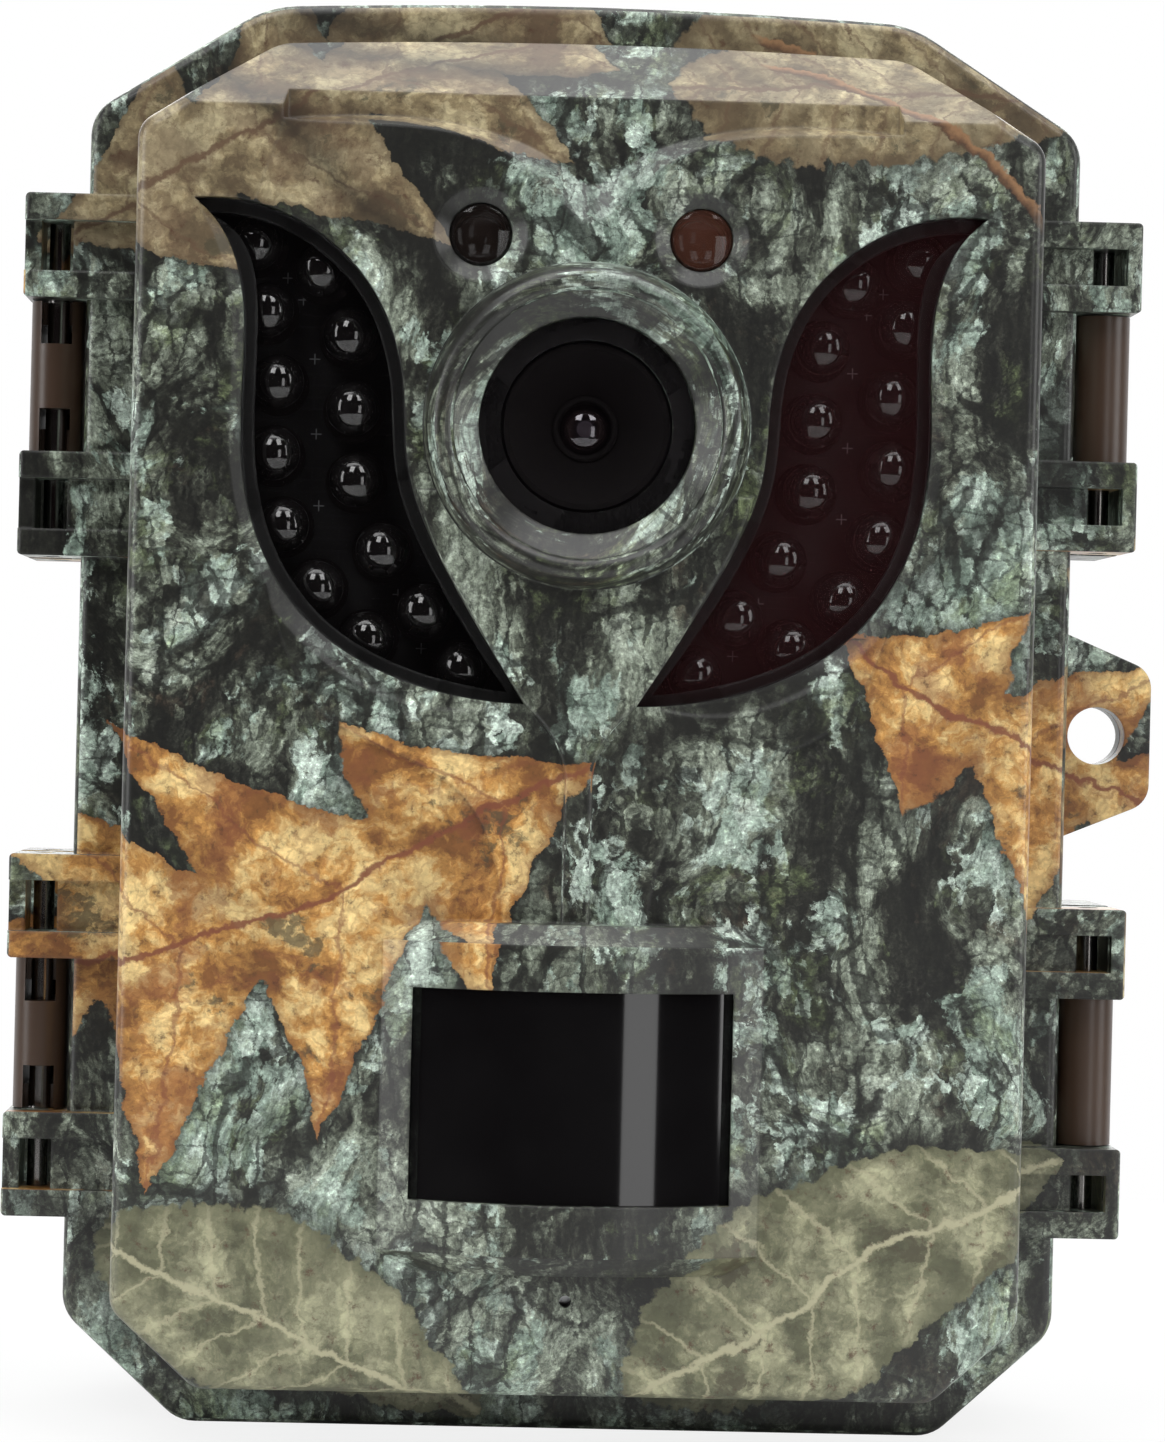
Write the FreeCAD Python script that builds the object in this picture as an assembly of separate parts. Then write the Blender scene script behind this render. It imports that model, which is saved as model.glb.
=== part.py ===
import FreeCAD
import Part
import math
import os

# Trail camera: two moulded shells on a two-pin link hinge, with snap latches.
# Frame: +Z up, the lens looks along -Y, +X is to the right seen from the front.
# The origin is the mouth of the tripod socket in the underside, in mm.

V = FreeCAD.Vector

# ---- cells and tripod socket, which set the height ----
cellRadius = 7.1
cellLength = 49.2
cellNub = 1.3
cellNubRadius = 2.75
springRoom = 3.5
springWire = 0.6
springRadius = 3.0
contactThickness = 0.5
bayPitch = 2 * cellRadius + 1.0
bayLength = cellLength + cellNub + springRoom
trayWall = 1.5
trayBase = 1.5
tripodDepth = 11.0
insertRadius = 5.0
insertCap = 3.2
trayClear = 0.25
trayHalfX = 2 * bayPitch + trayWall
trayHalfZ = bayLength + 1.5 * trayWall
trayFootZ = tripodDepth + insertCap + trayClear
trayZ = trayFootZ + trayHalfZ
headroom = 8.05

# ---- whole body ----
sideRoom = 15.1
bodyHalfWidth = trayHalfX + sideRoom
bodyHeight = trayZ + trayHalfZ + headroom
midZ = bodyHeight / 2
topShoulderX = bodyHalfWidth - 16.5   # where the arched top meets the shoulder slope
shoulderDrop = 10.5
bottomCutX = 11.2
bottomCutZ = 10.2
archSlope = math.radians(2.6)
shoulderRound = 4.0
topRound = 10.0
bottomRound = 4.0
leastRound = 2.5

# ---- depths, front to back ----
partingY = -16.0           # plane where the two shells meet
seamGap = 0.3
flangeDepth = 8.0
panelRise = 18.0
rearDepth = 28.0
wall = 2.2
rimWidth = 4.4             # land round each mouth, for the seal
panelInset = 4.9           # raised panel, in from the flange edge
panelDraft = 0.6
frontRound = 1.2
backRound = 4.0

flangeY = partingY - flangeDepth
panelY = flangeY - panelRise
backY = partingY + rearDepth
doorFaceY = partingY - seamGap / 2
rearFaceY = partingY + seamGap / 2
innerWallY = panelY + wall

# ---- lens ----
lensZ = bodyHeight - 40.9
lensWindowRadius = 9.85
lensWindowThickness = 1.2
bezelRadius = 14.9
bezelRise = 3.3
lensBoreRadius = 7.9
lensBarrelRadius = 7.6
lensThreadRadius = 6.0

# ---- small round windows ----
sensorX = 10.1
sensorZ = lensZ + 17.3
sensorWindowRadius = 2.85
sensorDish = 4.3

# ---- lamp windows ----
lampReach = bodyHalfWidth - 10.7      # tip of each window, from the centre line
lampScale = lampReach / 36.3
lampLift = lensZ - 94.1
lampWindowSink = 0.7
lampWindowThickness = 1.4
lampLedge = 1.2
lampFlare = 1.3            # bevel along the outer side of each window

# ---- motion sensor window ----
pirZ = 33.05
pirHalfHeight = 9.65
pirHalfWidth = 14.6
pirFrameHalfWidth = 17.4
pirFrameTop = 48.7
pirFrameBottom = 16.9
pirFrameRadius = 30.5
pirFrameRise = 5.7
pirSheet = 0.8
pirOverlap = 1.0
micZ = 14.2
micRadius = 0.55

# ---- hinge and latch hardware ----
pinX = bodyHalfWidth + 2.8
pinRadius = 1.0
pinSetback = 5.0           # each hinge pin, from the parting plane
pinFit = 0.02
runFit = 0.05
earOver = 3.05
earReach = pinX + earOver
earRoot = bodyHalfWidth - 6.0
earProud = 2.0             # ear ribs stand proud of the flange
earRib = 2.5
earFloor = 1.4
earWindowHalf = 1.5
earBackGap = 1.5
hingeOffset = 31.1
hingeEar = 9.8
linkHeight = 14.2
linkRadius = 2.5
latchOffset = 32.55
latchEar = 8.5
latchHeight = 13.9
latchRadius = 2.6
endPlay = 0.15
latchPlate = 2.0
latchTail = 19.0
keeperDepth = 2.0

# ---- padlock tab ----
tabZ = midZ - 0.5
tabTip = bodyHalfWidth + 8.6
tabHalfTip = 6.3
tabHalfRoot = 10.3
tabHoleX = bodyHalfWidth + 3.4
tabHoleRadius = 2.75
tabThickness = 3.0

# ---- inside the door ----
innerPanelThickness = 2.0
innerPanelSink = 0.45
boardThickness = 1.6
boardY = -24.4             # front face of the main board
lampBoardY = -29.6
lampHeight = 8.6
lampRadius = 2.5
lampFlange = 2.9
lampTip = 2.5
screwRadius = 1.0
postRadius = 2.8
buttonTravel = 0.5
buttonGap = 0.2

# ---- fixings outside ----
tripodRadius = 3.175
strapX = 30.0
strapRib = 5.0
strapReach = 8.0
strapSlotHeight = 27.0
strapSlotDepth = 4.6
dcX = -26.0
dcY = -2.0
dcHoleRadius = 4.0
flapHingeX = dcX + 7.4
flapZ = 1.1
flapHalf = 0.7

built = {}


# ------------------------------------------------------------ helpers
def box(x0, x1, y0, y1, z0, z1):
    return Part.makeBox(x1 - x0, y1 - y0, z1 - z0, V(x0, y0, z0))


def rodY(x, z, y0, y1, r):
    return Part.makeCylinder(r, y1 - y0, V(x, y0, z), V(0, 1, 0))


def rodZ(x, y, z0, z1, r):
    return Part.makeCylinder(r, z1 - z0, V(x, y, z0), V(0, 0, 1))


def insetPoints(points, inset):
    """Moves each side of an anticlockwise polygon inwards."""
    count = len(points)
    lines = []
    for i in range(count):
        (x0, z0), (x1, z1) = points[i], points[(i + 1) % count]
        length = math.hypot(x1 - x0, z1 - z0)
        dx, dz = (x1 - x0) / length, (z1 - z0) / length
        lines.append((x0 - dz * inset, z0 + dx * inset, dx, dz))
    moved = []
    for i in range(count):
        ax, az, adx, adz = lines[i - 1]
        bx, bz, bdx, bdz = lines[i]
        along = ((bx - ax) * bdz - (bz - az) * bdx) / (adx * bdz - adz * bdx)
        moved.append((ax + adx * along, az + adz * along))
    return moved


def roundedWire(points, radii, y):
    """A closed outline in the XZ plane, with each corner rounded by its radius."""
    count = len(points)
    corners = []
    for i in range(count):
        p = V(points[i][0], y, points[i][1])
        before = (V(points[i - 1][0], y, points[i - 1][1]) - p).normalize()
        nextPoint = points[(i + 1) % count]
        after = (V(nextPoint[0], y, nextPoint[1]) - p).normalize()
        if radii[i] <= 0:
            corners.append((p, None, p))
            continue
        half = before.getAngle(after) / 2
        run = radii[i] / math.tan(half)
        middle = (before + after).normalize() * (radii[i] / math.sin(half) - radii[i])
        corners.append((p + before * run, p + middle, p + after * run))
    edges = []
    for i in range(count):
        start, middle, end = corners[i]
        if middle is not None:
            edges.append(Part.Arc(start, middle, end).toShape())
        nextStart = corners[(i + 1) % count][0]
        if end.distanceToPoint(nextStart) > 1e-6:
            edges.append(Part.LineSegment(end, nextStart).toShape())
    return Part.Wire(edges)


def prism(wire, length):
    return Part.Face(wire).extrude(V(0, length, 0))


def bodyWire(inset, y):
    """The shells' outline: arched top, sloped shoulders, cut bottom corners."""
    archRun = 0.8 * topShoulderX / math.cos(archSlope)
    archRadius = archRun / math.tan(archSlope)
    apexZ = bodyHeight + archRun * math.tan(archSlope / 2)
    topZ = apexZ - topShoulderX * math.tan(archSlope)
    sideZ = topZ - shoulderDrop
    w = bodyHalfWidth
    points = [(-(w - bottomCutX), 0), (w - bottomCutX, 0), (w, bottomCutZ), (w, sideZ),
              (topShoulderX, topZ), (0, apexZ), (-topShoulderX, topZ), (-w, sideZ),
              (-w, bottomCutZ)]
    radii = [bottomRound, bottomRound, bottomRound, shoulderRound, topRound, archRadius,
             topRound, shoulderRound, bottomRound]
    return roundedWire(insetPoints(points, inset), [max(r - inset, leastRound) for r in radii], y)


def bodySlab(inset, y0, y1):
    return prism(bodyWire(inset, y0), y1 - y0)


def spline(points, y):
    curve = Part.BSplineCurve()
    curve.interpolate([V(x, y, z) for x, z in points])
    return curve.toShape()


def turned(points, z):
    """Turns a profile of (radius, y) points about the Y axis at height z."""
    wire = Part.makePolygon([V(r, y, z) for r, y in points] + [V(points[0][0], points[0][1], z)])
    return Part.Face(wire).revolve(V(0, 0, z), V(0, 1, 0), 360)


def mirrorX(shape):
    return shape.mirror(V(0, 0, 0), V(1, 0, 0))


def edgesOnPlaneY(shape, y):
    return [e for e in shape.Edges if all(abs(v.Y - y) < 1e-4 for v in e.Vertexes)
            and abs(e.CenterOfMass.y - y) < 1e-3]


def outerEdges(shape, y):
    """The outer boundary of the face that lies on the plane at y."""
    faces = [f for f in shape.Faces if abs(f.CenterOfMass.y - y) < 1e-4]
    return max(faces, key=lambda f: f.Area).OuterWire.Edges


def keep(name, *shapes):
    built[name] = shapes[0] if len(shapes) == 1 else Part.makeCompound(list(shapes))


# ------------------------------------------------------------ outlines on the front
def motif(points):
    """Places front outline points, drawn for a window tip at 36.3 and the lens at 94.1."""
    return [(x * lampScale, z + lampLift) for x, z in points]


def lampWire(grow, y, flare=0.0):
    """Right lamp window, like a curved leaf; grow moves all of it out, flare its outer side."""
    inner = [(36.3 + grow, 114.0 + grow), (27.0 - 0.4 * grow, 112.4 + 0.95 * grow),
             (19.7 - 0.8 * grow, 106.0 + 0.6 * grow), (16.8 - grow, 97.5),
             (16.2 - grow, 90.0 + 0.1 * grow), (13.4 - 0.85 * grow, 82.4 + 0.5 * grow),
             (5.1 - 1.3 * grow, 68.6 - 0.9 * grow)]
    out = grow + flare
    outer = [inner[-1], (14.1 + 0.2 * out, 69.8 - out), (23.8 + 0.6 * out, 74.6 - 0.8 * out),
             (29.8 + 0.9 * out, 83.0 - 0.4 * out), (31.6 + out, 94.6), (31.5 + out, 103.0),
             (33.0 + 0.95 * out, 110.0 - 0.3 * out), inner[0]]
    inner, outer = motif(inner), motif(outer)
    return Part.Wire([spline(inner, y), spline(outer, y)])


def gullWire(rise, y):
    """Hollow under the brow: straight top, lower edge dipping to a U over the lens."""
    half = 28.4 - 0.3 * rise
    lower = [(half, 121.5), (15.5, 120.9 + 0.6 * rise), (8.2, 119.0 + 0.9 * rise),
             (4.6 - 0.7 * rise, 116.2 + 1.3 * rise), (0, 112.7 + 2.2 * rise)]
    lower = motif(lower + [(-x, z) for x, z in lower[-2::-1]])
    (right, low), (left, low) = lower[0], lower[-1]
    top = creaseZ + 1.8
    return Part.Wire([
        spline(lower, y),
        Part.LineSegment(V(left, y, low), V(left, y, top)).toShape(),
        Part.LineSegment(V(left, y, top), V(right, y, top)).toShape(),
        Part.LineSegment(V(right, y, top), V(right, y, low)).toShape()])


def shieldSlab():
    """Low field round the lens, edged by two arcs below and fading out towards the brow."""
    side = [(7.1, 52.9), (10.3, 59.9), (17.2, 64.1), (23.2, 67.2),
            (27.5, 74.5), (30.0, 85.0), (30.3, 98.0), (32.5, 108.5)]
    side = [(6.6 * lampScale, pirFrameTop - 1.5)] + motif(side)
    y = panelY + 0.2
    left = [(-x, z) for x, z in side]
    top = creaseZ - 0.7
    brow = 28.0 * lampScale
    corners = [V(x, y, z) for x, z in (side[-1], (brow, top), (-brow, top), left[-1])]
    edges = [Part.LineSegment(a, b).toShape() for a, b in zip(corners, corners[1:])]
    foot = Part.LineSegment(V(left[0][0], y, left[0][1]), V(side[0][0], y, side[0][1]))
    wire = Part.Wire([spline(side, y)] + edges + [spline(left[::-1], y), foot.toShape()])
    fade = Part.Face(Part.makePolygon([
        V(-60, panelY - shieldRise, pirFrameTop), V(-60, panelY - 0.05, top), V(-60, panelY - 0.05, 150),
        V(-60, panelY - 5, 150), V(-60, panelY - 5, 30), V(-60, panelY - shieldRise, 30),
        V(-60, panelY - shieldRise, pirFrameTop)]))
    return prism(wire, -shieldRise - 0.4).cut(fade.extrude(V(120, 0, 0)))


def stemWire(y):
    """Goblet between the lamp windows with its stem down to the sensor frame."""
    side = motif([(15.4, 88.0), (13.4, 82.4), (9.4, 75.5), (5.1, 68.6), (2.9, 66.2), (1.6, 63.6),
                  (1.3, 60.5)])
    foot = pirFrameTop - 1.5
    right = [V(x, y, z) for x, z in (side[-1], (side[-1][0], foot))]
    left = [V(-p.x, y, p.z) for p in right[::-1]]
    run = right + left
    edges = [Part.LineSegment(a, b).toShape() for a, b in zip(run, run[1:])]
    top = Part.LineSegment(V(-side[0][0], y, side[0][1]), V(side[0][0], y, side[0][1])).toShape()
    return Part.Wire([spline(side, y)] + edges + [spline([(-x, z) for x, z in side[::-1]], y), top])


def softSlab(wire, height, soft):
    """A slab standing on the front panel, its front edge rounded."""
    slab = prism(wire, -height)
    frontY = wire.Vertexes[0].Y - height
    return slab.makeFillet(soft, outerEdges(slab, frontY))


# ------------------------------------------------------------ hinge and latch ears
def earSpans(offset, earHeight, gapHeight):
    """Z spans of the two ears of each of the two hinge or latch stations."""
    spans = []
    for centre in (midZ - offset, midZ + offset):
        half = gapHeight / 2 + endPlay
        spans.append((centre - half - earHeight, centre - half))
        spans.append((centre + half, centre + half + earHeight))
    return spans


hingeSpans = earSpans(hingeOffset, hingeEar, linkHeight)
latchSpans = earSpans(latchOffset, latchEar, latchHeight)
doorPinY = partingY - pinSetback
rearPinY = partingY + pinSetback
earFrontY = flangeY - earProud
earBackY = partingY - earBackGap


def doorEar(side, z0, z1):
    """An ear on the door: two ribs with a sunk floor between, and a window to the pin."""
    inner, outer = earRoot, earReach
    block = box(inner, outer, earFrontY, earBackY, z0, z1)
    block = block.makeFillet(0.5, [e for e in block.Edges if abs(e.CenterOfMass.x - outer) < 1e-6])
    lip = outer + 1 if side < 0 else outer - 1.4
    floor = box(inner, lip, earFrontY - 1, earFrontY + earFloor, z0 + earRib, z1 - earRib)
    window = box(pinX - earWindowHalf, pinX + earWindowHalf, earFrontY - 1, earBackY + 1,
                 z0 + earRib, z1 - earRib)
    block = block.cut([floor, window])
    return mirrorX(block) if side < 0 else block


def rearEar(side, z0, z1):
    inner, outer = bodyHalfWidth - 1.0, earReach
    front = partingY + earBackGap
    back = rearPinY + pinSetback if side < 0 else rearPinY + 11.0
    block = box(inner, outer, front, back, z0, z1)
    block = block.makeFillet(0.5, [e for e in block.Edges if abs(e.CenterOfMass.x - outer) < 1e-6])
    hollow = box(pinX - earWindowHalf, pinX + earWindowHalf, rearPinY, back + 1,
                 z0 + earRib, z1 - earRib)
    block = block.cut(hollow)
    return mirrorX(block) if side < 0 else block


def tabWire(y):
    root = bodyHalfWidth - 1.0
    points = [(root, tabZ - tabHalfRoot), (tabTip, tabZ - tabHalfTip), (tabTip, tabZ + tabHalfTip),
              (root, tabZ + tabHalfRoot)]
    return roundedWire(points, [0, 2.5, 2.5, 0], y)


# ------------------------------------------------------------ front shell
def pirCylinder(radius):
    axisY = panelY - pirFrameRise + pirFrameRadius
    return rodZ(0, axisY, 0, bodyHeight, radius)


def pirFrame():
    block = box(-pirFrameHalfWidth, pirFrameHalfWidth, panelY - pirFrameRise - 1, innerWallY,
                pirFrameBottom, pirFrameTop)
    frame = block.common(pirCylinder(pirFrameRadius))
    front = [e for e in frame.Edges if e.CenterOfMass.y < panelY - 1
             and min(abs(e.CenterOfMass.z - pirFrameTop), abs(e.CenterOfMass.z - pirFrameBottom)) < 1e-3]
    return frame.makeChamfer(1.8, front)


def lensBezel():
    rim = panelY - bezelRise
    p = [V(lensBoreRadius + 0.2, panelY + 1, lensZ), V(lensBoreRadius + 0.2, panelY - 0.6, lensZ),
         V(lensWindowRadius + 0.15, panelY - 1.1, lensZ), V(12.2, rim + 0.6, lensZ),
         V(13.3, rim, lensZ), V(14.2, rim + 0.6, lensZ), V(14.7, rim + 1.5, lensZ),
         V(bezelRadius, panelY - 0.4, lensZ), V(bezelRadius, panelY + 1, lensZ)]
    edges = [Part.LineSegment(p[0], p[1]).toShape(), Part.LineSegment(p[1], p[2]).toShape(),
             Part.LineSegment(p[2], p[3]).toShape(), Part.Arc(p[3], p[4], p[5]).toShape(),
             Part.Arc(p[5], p[6], p[7]).toShape(), Part.LineSegment(p[7], p[8]).toShape(),
             Part.LineSegment(p[8], p[0]).toShape()]
    return Part.Face(Part.Wire(edges)).revolve(V(0, 0, lensZ), V(0, 1, 0), 360)


creaseZ = bodyHeight - 12.3
slopeTopZ = bodyHeight - 5.2
slopeBackY = panelY + 6.0
shieldRise = 0.6
stemRise = 0.5
gullDepth = 1.3
gullSlope = 1.6


def panelBlock():
    low = bodyWire(panelInset, flangeY + 1)
    high = bodyWire(panelInset + panelDraft, panelY)
    block = Part.makeLoft([low, high], True, True)
    block = block.makeFillet(frontRound, outerEdges(block, panelY))
    wedge = Part.Face(Part.makePolygon([
        V(-60, panelY, creaseZ), V(-60, slopeBackY, slopeTopZ), V(-60, slopeBackY, 150),
        V(-60, panelY - 10, 150), V(-60, panelY - 10, creaseZ), V(-60, panelY, creaseZ)]))
    return block.cut(wedge.extrude(V(120, 0, 0)))


postX = bodyHalfWidth - 10.8
doorPosts = [(postX, 14.5), (postX, midZ - 1.5), (postX - 4.2, bodyHeight - 13.5)]
lampBosses = motif([(15.2, 108.6), (7.4, 64.6), (35.4, 80.5)])


def frontCover():
    flange = bodySlab(0, flangeY, doorFaceY)
    flange = flange.makeFillet(1.0, outerEdges(flange, flangeY))
    shell = flange.fuse(panelBlock())

    # room inside: narrow at the mouth, wider behind the panel
    mouth = bodySlab(rimWidth, flangeY + wall, doorFaceY + 1)
    room = bodySlab(panelInset + wall, innerWallY, flangeY + wall + 1)
    slopeSkin = Part.Face(Part.makePolygon([
        V(-60, innerWallY, creaseZ - 1.5), V(-60, slopeBackY + wall, slopeTopZ - 1.5),
        V(-60, slopeBackY + wall, 150), V(-60, panelY - 10, 150),
        V(-60, panelY - 10, creaseZ - 1.5), V(-60, innerWallY, creaseZ - 1.5)]))
    room = room.cut(slopeSkin.extrude(V(120, 0, 0)))

    layers = [shieldSlab(),
              softSlab(stemWire(panelY + 0.2), stemRise + shieldRise + 0.2, 0.35),
              lensBezel(), pirFrame()]
    shell = shell.fuse(layers)

    # ears, and the padlock tab
    extras = [doorEar(-1, z0, z1) for z0, z1 in hingeSpans]
    extras += [doorEar(1, z0, z1) for z0, z1 in latchSpans]
    extras.append(prism(tabWire(doorFaceY - tabThickness), tabThickness))
    shell = shell.fuse(extras).cut([mouth, room])

    # brow hollow
    gull = Part.makeLoft([gullWire(0, panelY - 0.05), gullWire(gullSlope, panelY + gullDepth)], True, True)
    gullBack = prism(gullWire(0, panelY), -2)
    shell = shell.cut([gull, gullBack])

    # inner posts and local ledges, added once the room is open
    posts = []
    for x, z in doorPosts:
        for s in (-1, 1):
            posts.append(rodY(s * x, z, innerWallY - 0.5, innerPanelY, postRadius))
    for x, z in lampBosses:
        for s in (-1, 1):
            posts.append(rodY(s * x, z, innerWallY - 0.5, lampBoardY, 2.0))
    posts.append(rodY(0, sensorZ, innerWallY - 0.5, lampBoardY, 2.0))
    posts += [rodY(x, z, innerWallY - 0.5, boardY, 2.2) for x, z in boardScrewPlaces]
    ledge = prism(lampWire(1.2, innerWallY - 0.5), lampLedgeBack - innerWallY + 0.5)
    posts += [ledge, mirrorX(ledge)]
    for s in (-1, 1):
        posts.append(rodY(s * sensorX, sensorZ, innerWallY - 0.5, innerWallY + 1.2, 4.0))
    posts.append(rodY(0, micZ, innerWallY - 0.5, innerWallY + 3.0, 4.2))
    posts.append(rodY(0, lensZ, innerWallY - 0.5, innerWallY + 1.0, 10.5))
    shell = shell.fuse(posts)

    # through holes
    cuts = []
    pocket = prism(lampWire(0, panelY - 3), lampSeatY - panelY + 3)
    hole = prism(lampWire(-lampLedge, panelY + 0.2), 12)
    slack = 0.4
    bevel = Part.makeLoft([lampWire(-slack, panelY + lampWindowSink - 0.05, slack - 0.3),
                           lampWire(-slack, panelY - 0.4, slack + lampFlare * 1.4)], True, True)
    shell = shell.cut([pocket, mirrorX(pocket)]).cut([bevel, mirrorX(bevel)])
    shell = shell.cut([hole, mirrorX(hole)])
    cuts.append(rodY(0, lensZ, panelY - 5, lensSeatY, lensWindowRadius + 0.05))
    cuts.append(rodY(0, lensZ, panelY - 5, innerWallY + 3, lensBoreRadius))
    for s in (-1, 1):
        cuts.append(rodY(s * sensorX, sensorZ, panelY - 5, innerWallY + 3, sensorWindowRadius - 0.4))
        cuts.append(rodY(s * sensorX, sensorZ, panelY - 5, panelY + 2.2, sensorWindowRadius + 0.05))
        dish = Part.makeCone(sensorDish, sensorWindowRadius, 0.9,
                             V(s * sensorX, panelY - 0.01, sensorZ), V(0, 1, 0))
        dish = dish.fuse(rodY(s * sensorX, sensorZ, panelY - 1.0, panelY, sensorDish))
        cuts.append(dish)
    cuts.append(rodY(0, micZ, panelY - 1, innerWallY + 1, micRadius))
    cuts.append(rodY(0, micZ, innerWallY, innerWallY + 4, 3.05))
    pirOpening = box(-pirHalfWidth, pirHalfWidth, panelY - 10, innerWallY + 1,
                     pirZ - pirHalfHeight, pirZ + pirHalfHeight)
    reach = pirOverlap + 0.05
    pirSeat = box(-pirHalfWidth - reach, pirHalfWidth + reach, panelY - 10, innerWallY + 1,
                  pirZ - pirHalfHeight - reach, pirZ + pirHalfHeight + reach)
    cuts += [pirOpening, pirSeat.common(pirCylinder(pirSheetOuter + 0.05))]
    for x, z in doorPosts:
        for s in (-1, 1):
            cuts.append(rodY(s * x, z, innerPanelY - 9, innerPanelY + 1, screwRadius + 0.05))
    for x, z in lampBosses:
        for s in (-1, 1):
            cuts.append(rodY(s * x, z, lampBoardY - 5, lampBoardY + 1, 0.85))
    cuts.append(rodY(0, sensorZ, lampBoardY - 5, lampBoardY + 1, 0.85))
    cuts += [rodY(x, z, boardY - 5, boardY + 1, 0.85) for x, z in boardScrewPlaces]
    cuts.append(rodY(tabHoleX, tabZ, doorFaceY - 5, doorFaceY + 5, tabHoleRadius))
    for z0, z1 in hingeSpans:
        cuts.append(rodZ(-pinX, doorPinY, z0 - 0.1, z1 + 0.1, pinRadius + pinFit))
    for z0, z1 in latchSpans:
        cuts.append(rodZ(pinX, doorPinY, z0 - 0.1, z1 + 0.1, pinRadius + pinFit))
    return shell.cut(cuts)


lampSeatY = panelY + lampWindowSink + lampWindowThickness
lampLedgeBack = lampSeatY + 1.2
lensSeatY = panelY + 0.8
pirSheetOuter = pirFrameRadius - 0.9
innerPanelBackY = doorFaceY - innerPanelSink
innerPanelY = innerPanelBackY - innerPanelThickness


# ------------------------------------------------------------ door: optics and lamps
lampPlaces = motif([(30.8, 110.6), (29.6, 104.4), (28.5, 97.8), (28.7, 91.2), (27.7, 84.6), (24.4, 78.9),
              (19.6, 74.3), (24.6, 108.3), (21.9, 102.3), (21.4, 95.5), (21.0, 88.9), (18.4, 82.5),
              (14.4, 77.0), (10.7, 71.7)])


def lamp(x, z, seat, height):
    """A clear 5 mm lamp: flange, body and domed tip."""
    flange = rodY(x, z, seat - 1.0, seat, lampFlange)
    stem = rodY(x, z, seat - height + lampTip, seat - 0.5, lampRadius)
    tip = Part.makeSphere(lampTip, V(x, seat - height + lampTip, z))
    return flange.fuse([stem, tip]).removeSplitter()


def lampBoard():
    points = motif([(39.0, 117.5), (20.5, 117.5), (12.4, 108.0), (12.4, 84.0), (3.0, 69.0),
                    (3.0, 62.0), (20.0, 62.0), (32.0, 68.5), (38.4, 77.0), (38.4, 100.0)])
    wire = roundedWire(points[::-1], [2.0] * len(points), lampBoardY)
    board = prism(wire, boardThickness)
    return board.cut([rodY(x, z, lampBoardY - 1, lampBoardY + 3, 1.05) for x, z in lampBosses])


def screwY(x, z, headY, length, radius, head, headHeight):
    """A pan-head screw driven along -Y, its head's underside at headY."""
    shank = rodY(x, z, headY - length, headY, radius)
    cap = rodY(x, z, headY, headY + headHeight, head)
    slot = box(x - head * 0.6, x + head * 0.6, headY + headHeight * 0.5, headY + headHeight + 1,
               z - 0.25, z + 0.25)
    cross = box(x - 0.25, x + 0.25, headY + headHeight * 0.5, headY + headHeight + 1,
                z - head * 0.6, z + head * 0.6)
    return shank.fuse(cap).cut([slot, cross])


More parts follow.
